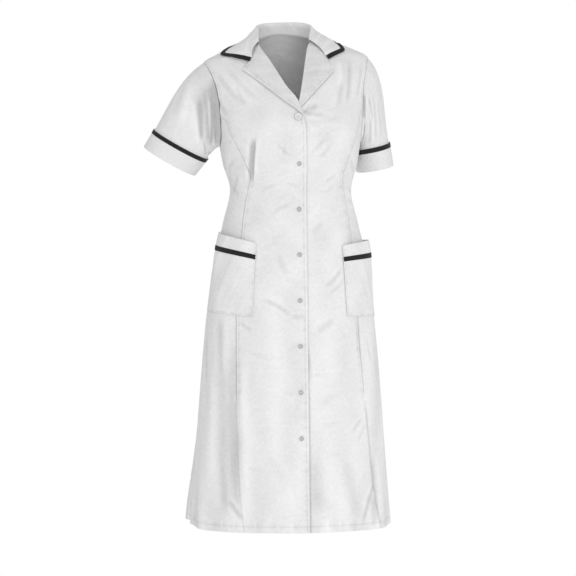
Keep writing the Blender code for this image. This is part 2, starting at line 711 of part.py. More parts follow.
def turned(name, profile, colour, segments=20):
    """A solid turned about +Z from a profile of (radius, height), given down its outer side."""
    mesh = bpy.data.meshes.new(name)
    mesh.from_pydata([(r, 0.0, h) for r, h in profile], [(i, i + 1) for i in range(len(profile) - 1)], [])
    obj = make_object(name, mesh, colour, 0.35)
    screw = obj.modifiers.new("turn", "SCREW")
    screw.steps = screw.render_steps = segments
    screw.use_merge_vertices = True
    screw.merge_threshold = 0.00005
    return obj


def make_fastenings():
    radius = BUTTON_RADIUS
    profile = (
        (0.0, 2.0 * MM), (0.55 * radius, 2.0 * MM), (0.72 * radius, 2.9 * MM), (0.92 * radius, 2.9 * MM),
        (radius, 2.1 * MM), (radius, 1.1 * MM), (0.8 * radius, 0.0), (0.0, 0.0),
    )
    button = turned("button_1", profile, PEARL)
    holes = []
    for across in (-1, 1):
        for up in (-1, 1):
            mesh = bpy.data.meshes.new("hole")
            built = bmesh.new()
            bmesh.ops.create_cone(
                built, cap_ends=True, segments=10, radius1=HOLE_RADIUS, radius2=HOLE_RADIUS, depth=20 * MM
            )
            bmesh.ops.translate(built, verts=built.verts, vec=(across * HOLE_OFFSET, up * HOLE_OFFSET, 0.0))
            built.to_mesh(mesh)
            built.free()
            hole = bpy.data.objects.new("hole", mesh)
            hole.hide_render = True
            hole.display_type = "WIRE"
            bpy.data.collections["cutters"].objects.link(hole)
            holes.append(hole)
    for hole in holes:
        cut = button.modifiers.new("hole", "BOOLEAN")
        cut.operation = "DIFFERENCE"
        cut.solver = "EXACT"
        cut.object = hole
    for obj in (button, *holes):
        place_on_front(obj, BUTTON_TOP_Z, 0.8 * MM)
    radius = STUD_RADIUS
    profile = (
        (0.0, 0.9 * MM), (0.45 * radius, 0.9 * MM), (0.62 * radius, 1.8 * MM), (0.85 * radius, 1.8 * MM),
        (radius, 1.0 * MM), (radius, 0.0), (0.0, 0.0),
    )
    for i in range(1, BUTTON_COUNT):
        stud = turned(f"stud_{i + 1}", profile, PEARL, 12)
        place_on_front(stud, BUTTON_TOP_Z - BUTTON_PITCH * i, LAYER_GAP)


def main():
    for obj in list(bpy.data.objects):
        bpy.data.objects.remove(obj)
    for name in ("nurse_dress", "cutters"):
        bpy.context.scene.collection.children.link(bpy.data.collections.new(name))
    make_back()
    for side_name in ("right", "left"):
        make_centre_front(side_name)
        make_side_front(side_name)
        make_sleeve(side_name)
        make_pocket(side_name)
        make_lapel(side_name)
    make_collar()
    make_fastenings()


main()
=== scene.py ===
"""Looks of the nurse uniform dress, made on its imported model.

Metres, +Z up, the front faces -Y, and the wearer's left is at +X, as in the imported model. Each cloth
piece is a thin wall on the garment form that the model has, with the creases that lie on it.
"""

import math

import bpy
import numpy as np
from mathutils import Matrix, Vector

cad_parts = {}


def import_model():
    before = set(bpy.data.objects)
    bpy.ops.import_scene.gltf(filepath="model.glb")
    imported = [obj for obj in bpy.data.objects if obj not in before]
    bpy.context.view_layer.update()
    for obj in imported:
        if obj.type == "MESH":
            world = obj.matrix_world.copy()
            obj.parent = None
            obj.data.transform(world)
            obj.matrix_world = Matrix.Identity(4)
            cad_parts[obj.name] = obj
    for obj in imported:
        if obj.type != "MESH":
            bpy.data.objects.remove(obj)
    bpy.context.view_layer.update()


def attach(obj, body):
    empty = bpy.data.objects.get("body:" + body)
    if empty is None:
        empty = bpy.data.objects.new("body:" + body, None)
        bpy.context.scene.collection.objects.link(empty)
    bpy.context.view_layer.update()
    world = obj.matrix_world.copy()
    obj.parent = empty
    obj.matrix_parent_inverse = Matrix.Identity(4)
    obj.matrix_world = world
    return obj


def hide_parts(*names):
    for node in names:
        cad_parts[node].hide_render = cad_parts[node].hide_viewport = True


MM = 0.001
CLOTH = 1.2 * MM
LAYER_GAP = 0.35 * MM
LAYER = CLOTH + LAYER_GAP
SHEET = 0.55 * MM
RIBBON = 0.9 * MM

HEM_Z = -1.066
WAIST_Z = -0.33
SHOULDER_TIP_Z = -0.046
UNDERARM_Z = -0.228
FRONT_TOP_Z = -0.001
BACK_TOP_Z = 0.003
BREAK_Z = -0.178
PLEAT_Z = -0.79
LAP = 16.0 * MM
LAP_AT_BREAK = 12.5 * MM
HEM_TURN = 13.0 * MM

# The garment form: half width, depth in front, depth behind and squareness of each level section.
SECTION = ("z", "half_width", "front", "back", "square")
SECTIONS = (
    (-1.080, 0.222, 0.162, 0.161, 2.10),
    (-0.950, 0.212, 0.153, 0.154, 2.10),
    (-0.850, 0.204, 0.146, 0.149, 2.10),
    (-0.730, 0.195, 0.138, 0.144, 2.10),
    (-0.620, 0.185, 0.131, 0.139, 2.10),
    (-0.550, 0.177, 0.127, 0.134, 2.10),
    (-0.483, 0.167, 0.122, 0.124, 2.10),
    (-0.400, 0.147, 0.115, 0.109, 2.12),
    (-0.330, 0.132, 0.113, 0.100, 2.18),
    (-0.270, 0.147, 0.119, 0.104, 2.24),
    (-0.200, 0.157, 0.125, 0.112, 2.35),
    (-0.150, 0.166, 0.115, 0.112, 2.40),
    (-0.100, 0.177, 0.098, 0.107, 2.40),
    (-0.070, 0.184, 0.082, 0.101, 2.40),
    (-0.046, 0.182, 0.067, 0.094, 2.30),
    (-0.030, 0.1555, 0.057, 0.086, 2.20),
    (-0.014, 0.119, 0.043, 0.075, 2.10),
    (0.003, 0.066, 0.022, 0.060, 2.00),
)

# Soft vertical folds of the skirt. A depth above 0 stands out and one below 0 is a trough.
FOLDS = (
    (-60, -0.60, 0.022, -0.0050),
    (-83, -0.84, 0.016, -0.0040),
    (-100, -0.80, 0.022, 0.0110),
    (-30, -0.80, 0.030, -0.0035),
    (36, -0.82, 0.028, -0.0035),
    (76, -0.78, 0.018, -0.0045),
    (-122, -0.66, 0.026, -0.0065),
    (-140, -0.60, 0.028, 0.0070),
    (-160, -0.66, 0.026, -0.0060),
    (160, -0.62, 0.028, -0.0060),
    (138, -0.60, 0.026, 0.0070),
    (115, -0.68, 0.026, -0.0060),
)

# The princess seam on each front, from the armhole to the hem, as a distance from the centre front.
PRINCESS = ("z", "right_x", "left_x")
PRINCESS_SEAMS = (
    (-1.080, 0.116, 0.181),
    (-1.010, 0.125, 0.169),
    (-0.940, 0.130, 0.159),
    (-0.860, 0.133, 0.152),
    (-0.790, 0.1345, 0.145),
    (-0.630, 0.133, 0.133),
    (-0.500, 0.126, 0.126),
    (-0.380, 0.1125, 0.1125),
    (-0.345, 0.106, 0.106),
    (-0.310, 0.101, 0.101),
    (-0.262, 0.116, 0.116),
    (-0.211, 0.1375, 0.1375),
    (-0.180, 0.146, 0.146),
)

# The cut edge of each front above the top button: the line on which the lapel rolls.
ROLL = ("z", "right_x", "left_x")
ROLL_LINES = (
    (-0.178, 0.0125, -0.0125),
    (-0.149, 0.0042, 0.0042),
    (-0.104, -0.0220, 0.0175),
    (-0.052, -0.0460, 0.0320),
    (-0.025, -0.0600, 0.0410),
    (-0.013, -0.0640, 0.0490),
    (0.003, -0.0660, 0.0650),
)

ARMHOLE_FRONT_DEG = 18.0
ARMHOLE_BACK_DEG = 15.0
MEETING_TURN = 5 / 12 * math.pi

# Each short sleeve: middle of its hem, tilt of its hem to the side and to the back, and radii.
SLEEVES = {
    "right": dict(
        side=-1, hem=(-0.2620, 0.030, -0.2585), out_deg=32.5, back_deg=14.0,
        across=0.0632, fore=0.050, cap=0.78,
    ),
    "left": dict(
        side=1, hem=(0.1995, 0.050, -0.2800), out_deg=12.0, back_deg=5.0,
        across=0.0368, fore=0.072, cap=0.52,
    ),
}
CUFF_HEIGHT = 0.047
TRIM_WIDTH = 0.010

POCKETS = {
    "right": dict(
        side=-1, top_outer=-0.4235, top_inner=-0.450, low_outer=-0.594, low_inner=-0.608,
        inner_x=(0.0900, 0.1000),
    ),
    "left": dict(
        side=1, top_outer=-0.440, top_inner=-0.454, low_outer=-0.606, low_inner=-0.608,
        inner_x=(0.0965, 0.1050),
    ),
}
POCKET_OUTER_DEG = 88.4
POCKET_BULGE = 0.017
POCKET_BAND = 0.025

BUTTON_TOP_Z = -0.181
BUTTON_PITCH = 0.0979
BUTTON_COUNT = 8
BUTTON_RADIUS = 8.75 * MM
STUD_RADIUS = 5.0 * MM

LEAN_DEG = 3.0
LEAN_FULL_Z = -0.18

# Creases on the body of the dress, from one point to another: a height below 0 is a trough.
# Angles go from the centre front towards the wearer's left. Lengths are metres and heights millimetres.
CREASE = ("from_deg", "from_z", "to_deg", "to_z", "bow", "half_width", "height_mm")
CREASES = (
    # The wearer's right side of the bodice
    (-40, -0.214, -51, -0.326, 0.002, 0.0056, -4.4),
    (-38.4, -0.212, -49.0, -0.326, 0.002, 0.0028, -1.8),
    (-76, -0.062, -48, -0.150, 0.005, 0.0060, -1.1),
    (-70, -0.054, -36, -0.142, 0.006, 0.0055, -0.8),
    (-64, -0.050, -30, -0.118, 0.004, 0.0060, 0.6),
    (-58, -0.098, -46, -0.156, 0.003, 0.0045, -0.9),
    (-82, -0.090, -62, -0.170, 0.004, 0.0060, -1.2),
    (-78, -0.120, -66, -0.186, 0.003, 0.0050, 0.7),
    (-29, -0.389, -8, -0.365, -0.003, 0.0040, -0.9),
    (-22, -0.232, -8, -0.264, 0.002, 0.0040, -0.8),
    (-13, -0.230, -16, -0.268, 0.001, 0.0035, -0.6),
    (-15, -0.319, 2, -0.328, 0.001, 0.0035, -0.7),
    (-39, -0.332, -24, -0.321, 0.002, 0.0040, -0.8),
    (-64, -0.300, -80, -0.345, 0.003, 0.0055, -1.2),
    (-66, -0.350, -84, -0.322, 0.003, 0.0050, -1.0),
    (-62, -0.262, -82, -0.300, 0.004, 0.0060, -1.1),
    # The wearer's left side of the bodice
    (11, -0.259, 25, -0.224, 0.002, 0.0042, -0.9),
    (19, -0.270, 31, -0.240, 0.002, 0.0042, -0.8),
    (68, -0.048, 49, -0.158, -0.004, 0.0055, -1.5),
    (53, -0.096, 38, -0.168, -0.002, 0.0065, -1.1),
    (76, -0.052, 60, -0.150, -0.003, 0.0050, -1.1),
    (60, -0.050, 46, -0.120, -0.003, 0.0060, 1.0),
    (6, -0.186, 44, -0.184, 0.002, 0.0070, -0.6),
    (4, -0.176, 22, -0.150, 0.002, 0.0060, -0.9),
    (28, -0.318, 41, -0.302, 0.001, 0.0040, -0.9),
    (29, -0.340, 38, -0.324, 0.001, 0.0035, -0.7),
    (60, -0.322, 80, -0.338, 0.002, 0.0050, -1.1),
    (58, -0.352, 82, -0.358, 0.002, 0.0045, -0.8),
    (56, -0.268, 72, -0.296, 0.003, 0.0055, -0.9),
    # The front of the skirt
    (25, -0.544, 43, -0.500, 0.003, 0.0045, -1.3),
    (28, -0.558, 44, -0.528, 0.002, 0.0040, -0.9),
    (-36, -0.570, -9, -0.607, -0.006, 0.0042, -1.2),
    (-10, -0.606, 6, -0.608, 0.001, 0.0050, -1.1),
    (-37, -0.555, -12, -0.590, -0.006, 0.0060, 0.35),
    (-52, -0.616, -41, -0.641, 0.001, 0.0040, -1.1),
    (-8, -0.593, 5, -0.593, 0.000, 0.0030, -0.5),
    (-43, -0.721, 6, -0.724, 0.001, 0.0022, 0.40),
    (9, -0.725, 41, -0.721, 0.001, 0.0022, 0.40),
    (-41, -0.838, 6, -0.840, 0.001, 0.0022, 0.40),
    (9, -0.837, 38, -0.831, 0.001, 0.0022, -0.45),
    (-69, -0.600, -64, -0.745, 0.001, 0.0090, -1.6),
    (-65, -0.690, -60, -0.930, 0.001, 0.0130, -1.8),
    (-50, -0.820, -46, -1.050, 0.002, 0.0120, -1.5),
    (-62, -0.880, -55, -1.040, 0.001, 0.0100, -1.2),
    (-54, -0.995, -42, -1.040, 0.002, 0.0050, -1.8),
    (-55, -0.930, -47, -1.050, 0.002, 0.0070, 0.3),
    (58, -0.900, 60, -1.050, 0.001, 0.0100, -1.6),
    (36, -0.900, 45, -1.050, 0.002, 0.0140, -0.9),
    (60, -0.955, 46, -1.062, 0.002, 0.0045, -1.8),
    (55, -0.985, 58, -1.064, 0.001, 0.0110, -1.5),
    (9, -0.890, 12, -1.040, 0.001, 0.0160, -1.0),
    (53, -0.824, 42, -0.860, 0.002, 0.0036, -1.2),
    (56, -0.838, 46, -0.880, 0.002, 0.0040, -0.8),
    (54, -0.610, 53, -0.712, 0.000, 0.0050, -0.9),
    (62, -0.648, 66, -0.712, 0.001, 0.0045, -0.9),
    (-45, -0.680, -25, -0.697, 0.002, 0.0045, -0.5),
    (8, -0.965, 26, -1.026, 0.003, 0.0110, -0.3),
    (-44, -0.772, -30, -0.936, 0.002, 0.0120, 0.3),
    (5, -0.166, 10, -0.167, 0.001, 0.0040, -2.0),
    (6, -0.170, 27, -0.177, 0.001, 0.0045, -1.4),
    (7, -0.160, 23, -0.158, 0.001, 0.0070, -1.0),
    (6, -0.179, 28, -0.187, 0.001, 0.0045, 0.6),
    (-46, -0.690, -45, -0.880, 0.001, 0.0080, 0.5),
    (-58, -0.620, -50, -1.054, 0.001, 0.0160, -1.9),
    (-72, -0.700, -66, -1.020, 0.001, 0.0120, 0.6),
    (14, -0.640, 32, -0.610, 0.003, 0.0070, -1.0),
    (12, -0.800, 30, -0.770, 0.003, 0.0080, -0.5),
    (-26, -0.900, -12, -0.960, 0.003, 0.0090, -0.4),
    (-22, -0.470, -12, -0.520, 0.002, 0.0060, -0.8),
    (12, -0.430, 26, -0.400, 0.002, 0.0060, -0.8),
    (-84, -0.640, -78, -0.760, 0.002, 0.0060, -1.0),
    (82, -0.650, 84, -0.790, 0.002, 0.0070, -1.2),
    # The back
    (128, -0.322, 160, -0.334, 0.003, 0.0060, -2.0),
    (170, -0.340, 206, -0.330, 0.003, 0.0060, -1.7),
    (214, -0.318, 240, -0.330, 0.003, 0.0060, -1.8),
    (140, -0.352, 176, -0.362, 0.003, 0.0050, -1.2),
    (190, -0.364, 226, -0.356, 0.003, 0.0055, -1.4),
    (150, -0.296, 172, -0.306, 0.002, 0.0050, -1.0),
    (196, -0.300, 222, -0.292, 0.002, 0.0050, -1.0),
    (112, -0.150, 132, -0.235, 0.004, 0.0080, -1.8),
    (248, -0.148, 230, -0.240, 0.004, 0.0080, -1.8),
    (106, -0.080, 124, -0.160, 0.004, 0.0090, -1.5),
    (254, -0.082, 238, -0.160, 0.004, 0.0090, -1.6),
    (135, -0.060, 150, -0.140, 0.003, 0.0090, 1.1),
    (226, -0.060, 212, -0.140, 0.003, 0.0090, 1.1),
    (160, -0.440, 186, -0.470, 0.004, 0.0070, -1.2),
    (150, -0.520, 172, -0.500, 0.003, 0.0070, -1.0),
    (196, -0.530, 218, -0.500, 0.003, 0.0070, -1.1),
    (120, -0.724, 240, -0.722, 0.001, 0.0022, 0.40),
    (118, -0.838, 242, -0.836, 0.001, 0.0022, -0.45),
    (166, -0.760, 158, -0.960, 0.002, 0.0090, -1.6),
    (200, -0.700, 206, -0.940, 0.002, 0.0100, -1.6),
    (182, -0.800, 180, -1.040, 0.002, 0.0100, 1.2),
)

# Creases on the sleeves. Turns go from the shoulder over the front; shares go from armhole to cuff.
SLEEVE_CREASE = ("from_deg", "from_share", "to_deg", "to_share", "bow", "half_width", "height_mm")
SLEEVE_CREASES = {
    "right": (
        (50, 0.12, 152, 0.34, 0.001, 0.0220, -2.2),
        (46, 0.02, 172, 0.04, 0.001, 0.0120, -2.2),
        (58, 0.30, 126, 0.62, 0.002, 0.0060, -2.4),
        (60, 0.13, 134, 0.36, 0.002, 0.0034, 1.9),
        (68, 0.05, 160, 0.16, 0.002, 0.0066, -3.4),
        (96, 0.10, 150, 0.40, 0.002, 0.0040, -1.8),
        (84, 0.12, 120, 0.34, 0.001, 0.0028, -0.8),
        (120, 0.52, 158, 0.70, 0.001, 0.0050, -1.2),
        (28, 0.24, 70, 0.84, 0.004, 0.0080, 0.5),
        (12, 0.34, 44, 0.80, 0.004, 0.0070, -0.4),
        (-30, 0.10, -92, 0.72, 0.004, 0.0070, -1.6),
        (-70, 0.06, -130, 0.64, 0.003, 0.0060, -1.6),
        (-12, 0.35, -50, 0.85, 0.004, 0.0070, -0.6),
        (150, 0.50, 210, 0.62, 0.002, 0.0060, -1.4),
    ),
    "left": (
        (78, 0.01, 122, 0.08, 0.001, 0.0050, -2.4),
        (116, 0.08, 150, 0.34, 0.002, 0.0048, -2.2),
        (80, 0.10, 96, 0.46, 0.001, 0.0036, -1.2),
        (68, 0.20, 92, 0.84, 0.003, 0.0050, -0.9),
        (56, 0.34, 70, 0.94, 0.003, 0.0050, -0.6),
        (98, 0.28, 116, 0.80, 0.002, 0.0050, -0.9),
        (88, 0.20, 104, 0.90, 0.002, 0.0045, 0.6),
        (40, 0.24, 52, 0.86, 0.002, 0.0055, -0.5),
        (-40, 0.12, -80, 0.80, 0.004, 0.0070, -1.4),
        (-84, 0.06, -110, 0.76, 0.003, 0.0065, -1.4),
        (150, 0.40, 205, 0.55, 0.002, 0.0060, -1.2),
    ),
}

# Corners of each lapel, as (x, z) on its front. The collar's fall meets it at the notch.
CORNERS = {
    "right": dict(gorge=(0.0640, -0.013), notch=(0.0835, -0.0455), lapel=(0.1070, -0.0700)),
    "left": dict(gorge=(0.0490, -0.013), notch=(0.0775, -0.0475), lapel=(0.0895, -0.0810)),
}

# The collar from the centre back (along 0) to its front end (along 1), for the wearer's left half.
NECK = ("along", "seam_deg", "seam_z", "roll_x", "roll_y", "roll_z", "fall_deg", "fall_z")
NECK_ROWS = (
    (0.00, 180, 0.003, 0.0000, 0.056, 0.0445, 180.0, -0.0200),
    (0.22, 154, 0.003, 0.0270, 0.050, 0.0430, 152.0, -0.0185),
    (0.48, 122, 0.003, 0.0490, 0.030, 0.0380, 121.0, -0.0130),
    (0.72, 90, 0.003, 0.0580, -0.002, 0.0270, 94.0, -0.0065),
    (0.88, 66, -0.004, 0.0570, -0.026, 0.0100, 82.0, -0.0135),
    (1.00, 50, -0.0105, 0.0560, -0.041, -0.0060, 73.5, -0.0310),
)
COLLAR_ROWS = (0.0, 0.5, 0.85, 1.0, 1.15, 1.45, 1.76, 2.075, 2.40, 2.73, 3.0)
FRONT_SHIFT = 0.0080

WHITE = (0.86, 0.86, 0.87)
BLACK = (0.012, 0.012, 0.014)
PEARL = (0.80, 0.80, 0.80)


# ---- Curves and easing

def column(columns, table, name):
    """(positions, values) of one named column, lowest first."""
    rows = sorted(table)
    return np.array([row[0] for row in rows]), np.array([row[columns.index(name)] for row in rows])


def curve_through(knots, values, at):
    """A smooth curve through the knots that never overshoots them."""
    at = np.clip(np.asarray(at, float), knots[0], knots[-1])
    steps = np.diff(knots)
    slopes = np.diff(values) / steps
    same_sign = slopes[:-1] * slopes[1:] > 0
    total = np.where(same_sign, slopes[:-1] + slopes[1:], 1.0)
    inner = np.where(same_sign, 2 * slopes[:-1] * slopes[1:] / total, 0.0)
    bend = np.concatenate([[slopes[0]], inner, [slopes[-1]]])
    i = np.clip(np.searchsorted(knots, at, side="right") - 1, 0, len(knots) - 2)
    t = (at - knots[i]) / steps[i]
    return (
        (1 + 2 * t) * (1 - t) ** 2 * values[i]
        + t * (1 - t) ** 2 * steps[i] * bend[i]
        + t * t * (3 - 2 * t) * values[i + 1]
        + t * t * (t - 1) * steps[i] * bend[i + 1]
    )


def through_rows(knots, rows, at):
    """A smooth surface through rows of points, at new places along the knots."""
    knots = np.asarray(knots, float)
    slopes = np.gradient(rows, knots, axis=0)
    i = np.clip(np.searchsorted(knots, at, side="right") - 1, 0, len(knots) - 2)
    step = (knots[i + 1] - knots[i])[:, None, None]
    t = ((at - knots[i]) / (knots[i + 1] - knots[i]))[:, None, None]
    return (
        (1 + 2 * t) * (1 - t) ** 2 * rows[i]
        + t * (1 - t) ** 2 * step * slopes[i]
        + t * t * (3 - 2 * t) * rows[i + 1]
        + t * t * (t - 1) * step * slopes[i + 1]
    )


def ease(t):
    t = np.clip(t, 0.0, 1.0)
    return t * t * (3 - 2 * t)


def bump(distance, half_width):
    return np.exp(-((distance / half_width) ** 2))


# ---- The garment form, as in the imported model

def section(name, z):
    return curve_through(*column(SECTION, SECTIONS, name), z)


def bust(phi, z):
    """The fullness that the princess seams give each front."""
    at_apex = bump(np.abs(phi) - np.radians(38), np.radians(26))
    return 0.007 * at_apex * bump(z + 0.212, 0.055)


def folds(phi, z, radius):
    """How far the skirt's folds stand out from its sections."""
    total = np.zeros(np.broadcast(phi, z).shape)
    for angle_deg, top_z, half_width, depth in FOLDS:
        around = np.angle(np.exp(1j * (phi - math.radians(angle_deg)))) * radius
        grown = ease((top_z - z) / (top_z - HEM_Z))
        total = total + depth * grown * bump(around, half_width * (0.6 + 0.6 * grown))
    return total


def level_point(phi, z):
    """The form's point at an angle from the centre front, towards the wearer's left, and a height."""
    phi, z = np.broadcast_arrays(np.asarray(phi, float), np.asarray(z, float))
    half_width, front, back, square = (section(name, z) for name in SECTION[1:])
    depth = np.where(np.cos(phi) > 0, front, back)
    beside = np.abs(np.sin(phi) / half_width) ** square
    before = np.abs(np.cos(phi) / depth) ** square
    radius = (beside + before) ** (-1 / square)
    radius = radius + bust(phi, z) + folds(phi, z, radius)
    nape = 0.016 * ease((z + 0.05) / 0.053) * np.clip(-np.cos(phi), 0, 1) ** 2
    hem = 0.014 * ease((np.abs(phi) - 1.15) / 0.8) * ease((-0.93 - z) / 0.13)
    return np.stack([radius * np.sin(phi), -radius * np.cos(phi), z + nape + hem], axis=-1)


def form(phi, z, out=0.0):
    """A point of the form, moved out along the form's normal."""
    phi, z = np.broadcast_arrays(np.asarray(phi, float), np.asarray(z, float))
    step = 1e-4
    around = level_point(phi + step, z) - level_point(phi - step, z)
    upward = level_point(phi, z + step) - level_point(phi, z - step)
    normal = np.cross(around, upward)
    normal /= np.linalg.norm(normal, axis=-1, keepdims=True)
    return level_point(phi, z) + normal * np.asarray(out, float)[..., None]


def angle_at(x, z):
    """The angle at which the front of the form is x from its middle."""
    x, z = np.broadcast_arrays(np.asarray(x, float), np.asarray(z, float))
    low = np.full(x.shape, -math.pi / 2)
    high = -low
    for _ in range(26):
        middle = (low + high) / 2
        short = level_point(middle, z)[..., 0] < x
        low = np.where(short, middle, low)
        high = np.where(short, high, middle)
    return (low + high) / 2


def lean(points):
    """On its wearer the dress bends a little to the wearer's right above the waist."""
    points = np.asarray(points, float)
    x, y, z = points[..., 0], points[..., 1], points[..., 2]
    span = LEAN_FULL_Z - WAIST_Z
    share = np.clip((z - WAIST_Z) / span, 0, 1)
    full = math.radians(LEAN_DEG)
    turn = full * share
    middle_x = -full * (span * share**2 / 2 + np.clip(z - LEAN_FULL_Z, 0, None))
    return np.stack([middle_x + x * np.cos(turn), y, z + x * np.sin(turn)], axis=-1)


# ---- Creases

def girth_table():
    """Distance round the form from the centre front, for a fan of angles and a ladder of heights."""
    angles = np.radians(np.arange(-180, 181, 1.5))
    heights = np.linspace(HEM_Z, BACK_TOP_Z, 140)
    points = level_point(angles[None, :], heights[:, None])[..., :2]
    steps = np.linalg.norm(np.diff(points, axis=1), axis=2)
    girth = np.concatenate([np.zeros((len(heights), 1)), np.cumsum(steps, axis=1)], axis=1)
    return angles, heights, girth - girth[:, [len(angles) // 2]]


ANGLES, HEIGHTS, GIRTH = girth_table()


def in_table(table, angle, z):
    """Value between the four nearest places of a table over ANGLES and HEIGHTS."""
    a = np.clip((angle - ANGLES[0]) / (ANGLES[1] - ANGLES[0]), 0, len(ANGLES) - 1.001)
    h = np.clip((z - HEIGHTS[0]) / (HEIGHTS[1] - HEIGHTS[0]), 0, len(HEIGHTS) - 1.001)
    i, j = h.astype(int), a.astype(int)
    u, v = a - j, h - i
    low = table[i, j] * (1 - u) + table[i, j + 1] * u
    high = table[i + 1, j] * (1 - u) + table[i + 1, j + 1] * u
    return low * (1 - v) + high * v


def girth_at(phi, z):
    """Distance round the form from the centre front, and the whole way round at that height."""
    wrapped = np.angle(np.exp(1j * phi))
    whole = in_table(GIRTH, np.full_like(wrapped, math.pi), z) - in_table(GIRTH, np.full_like(wrapped, -math.pi), z)
    return in_table(GIRTH, wrapped, z), whole


def crease(across, up, length, half_width, height):
    """A crease's height at places given along it (up) and beside it (across). It fades at its ends."""
    fade = ease(up / (0.28 * length)) * ease((length - up) / (0.28 * length))
    shape = bump(across, half_width) - 0.20 * bump(np.abs(across) - 1.9 * half_width, 0.9 * half_width)
    return height * fade * shape


def creases_at(rows, place, whole=None):
    """Sum of a table's creases at places (round, up). Whole is the way round, where it closes."""
    around, up = place
    total = np.zeros(np.broadcast(around, up).shape)
    for (from_round, from_up), (to_round, to_up), bow, half_width, height in rows:
        right = around - from_round
        if whole is not None:
            right = (right + whole / 2) % whole - whole / 2
        rise = up - from_up
        run, climb = to_round - from_round, to_up - from_up
        length = math.hypot(run, climb)
        along = (right * run + rise * climb) / length
        beside = (right * climb - rise * run) / length
        share = along / length
        beside = beside - bow * 4 * share * (1 - share)
        near = (share > 0) & (share < 1) & (np.abs(beside) < 4.5 * half_width)
        if not near.any():
            continue
        total[near] += crease(beside[near], along[near], length, half_width, height)
    return total


def body_rows():
    """The body's creases as places on the cloth, with the fine crumple of cotton in use."""
    rows = []
    for from_deg, from_z, to_deg, to_z, bow, half_width, height_mm in CREASES:
        ends = []
        for angle_deg, z in ((from_deg, from_z), (to_deg, to_z)):
            around, whole = girth_at(np.array([math.radians(angle_deg)]), np.array([z]))
            ends.append([float(around[0]), z, float(whole[0])])
        turns = round((ends[0][0] - ends[1][0]) / ends[0][2])
        ends[1][0] += turns * ends[1][2]
        rows.append((ends[0][:2], ends[1][:2], bow, half_width, height_mm * MM))
    return rows + crumple(seed=11, count=1500, width=1.20, low=HEM_Z, high=0.0)


def crumple(seed, count, width, low, high):
    """Short soft creases scattered over cloth: count of them on a band that wide."""
    random = np.random.default_rng(seed)
    rows = []
    for _ in range(count):
        start = (random.uniform(-width / 2, width / 2), random.uniform(low, high))
        length = random.uniform(0.012, 0.045)
        tilt = random.normal(0.0, 0.9)
        end = (start[0] + length * math.cos(tilt), start[1] + length * math.sin(tilt))
        half_width = random.uniform(0.0024, 0.0050)
        height = random.choice([-1, 1]) * random.uniform(0.10, 0.34) * MM
        rows.append((start, end, random.normal(0, 0.0015), half_width, height))
    return rows


BODY_CREASES = body_rows()


def waver(along, seed, longest=0.05):
    """An uneven value between about -1 and 1 along a seam."""
    random = np.random.default_rng(seed)
    total = np.zeros(np.shape(along))
    for wave in longest / np.array([1.0, 1.7, 2.9, 4.6]):
        total = total + np.sin(along / wave * 2 * math.pi + random.uniform(0, 6.28)) * wave**0.5
    return total / 2.2 / longest**0.5


def drape(around, z):
    """Wide shallow waves of hanging cloth: upright ones on the skirt and slanted ones above."""
    random = np.random.default_rng(7)
    total = np.zeros(np.shape(around))
    for _ in range(9):
        length = random.uniform(0.055, 0.15)
        slant = random.normal(0, 0.18)
        phase = random.uniform(0, 2 * math.pi)
        total = total + length * np.cos(2 * math.pi * (around + slant * z) / length + phase)
    on_skirt = ease((-0.42 - z) / 0.35)
    slanted = np.zeros(np.shape(around))
    for _ in range(8):
        length = random.uniform(0.045, 0.11)
        way = random.uniform(0, math.pi)
        phase = random.uniform(0, 2 * math.pi)
        slanted = slanted + length * np.cos(2 * math.pi * (around * math.cos(way) + z * math.sin(way)) / length + phase)
    return 1.5 * MM * total * on_skirt + 1.0 * MM * slanted * (1 - 0.7 * on_skirt)


def relief(phi, z):
    """Height of the body's creases, its hem and its crumple on the form, and the depth of its shade."""
    around, whole = girth_at(phi, z)
    total = creases_at(BODY_CREASES, (around, z), whole) + drape(around, z)
    from_hem = z - HEM_Z
    stitched = bump(from_hem - HEM_TURN, 0.0016)
    pull = bump(from_hem - HEM_TURN, 0.009) * waver(around, 3, 0.045)
    height = total - 0.45 * MM * stitched + 0.55 * MM * pull + 0.6 * MM * waver(around, 4, 0.12) * bump(from_hem, 0.03)
    # The shade depth adds a painted shade line along the hem's stitches.
    return height, height - 0.5 * MM * bump(from_hem - HEM_TURN, 0.0024)


def surface(phi, z, out=0.0):
    """Points of the dress's cloth, the form with its creases moved out, and the depth of their shade."""
    phi, z = np.broadcast_arrays(np.asarray(phi, float), np.asarray(z, float))
    height, shade = relief(phi, z)
    return form(phi, z, height + out), shade


# ---- Cloth walls

def normals_of(grid, closed=False):
    if closed:
        around = np.roll(grid, -1, axis=1) - np.roll(grid, 1, axis=1)
    else:
        around = np.gradient(grid, axis=1)
    normal = np.cross(around, np.gradient(grid, axis=0))
    return normal / np.maximum(np.linalg.norm(normal, axis=-1, keepdims=True), 1e-12)


def way_along(grid, axis):
    """Distance travelled over a grid along one axis, at each point."""
    steps = np.linalg.norm(np.diff(grid, axis=axis), axis=2)
    lead = np.zeros_like(steps[:1] if axis == 0 else steps[:, :1])
    return np.concatenate([lead, np.cumsum(steps, axis=axis)], axis=axis)


def quads(rows, columns, closed):
    i, j = np.meshgrid(np.arange(rows - 1), np.arange(columns if closed else columns - 1), indexing="ij")
    k = (j + 1) % columns
    corners = [i * columns + j, i * columns + k, (i + 1) * columns + k, (i + 1) * columns + j]
    return np.stack([corner.ravel() for corner in corners], axis=1)


def edge_loops(rows, columns, closed):
    """Points along the cloth's edge, with the cloth on the left."""
    low = [(0, j) for j in range(columns)]
    high = [(rows - 1, j) for j in range(columns - 1, -1, -1)]
    if closed:
        return [low, high]
    right = [(i, columns - 1) for i in range(1, rows - 1)]
    left = [(i, 0) for i in range(rows - 2, 0, -1)]
    return [low + right + high + left]


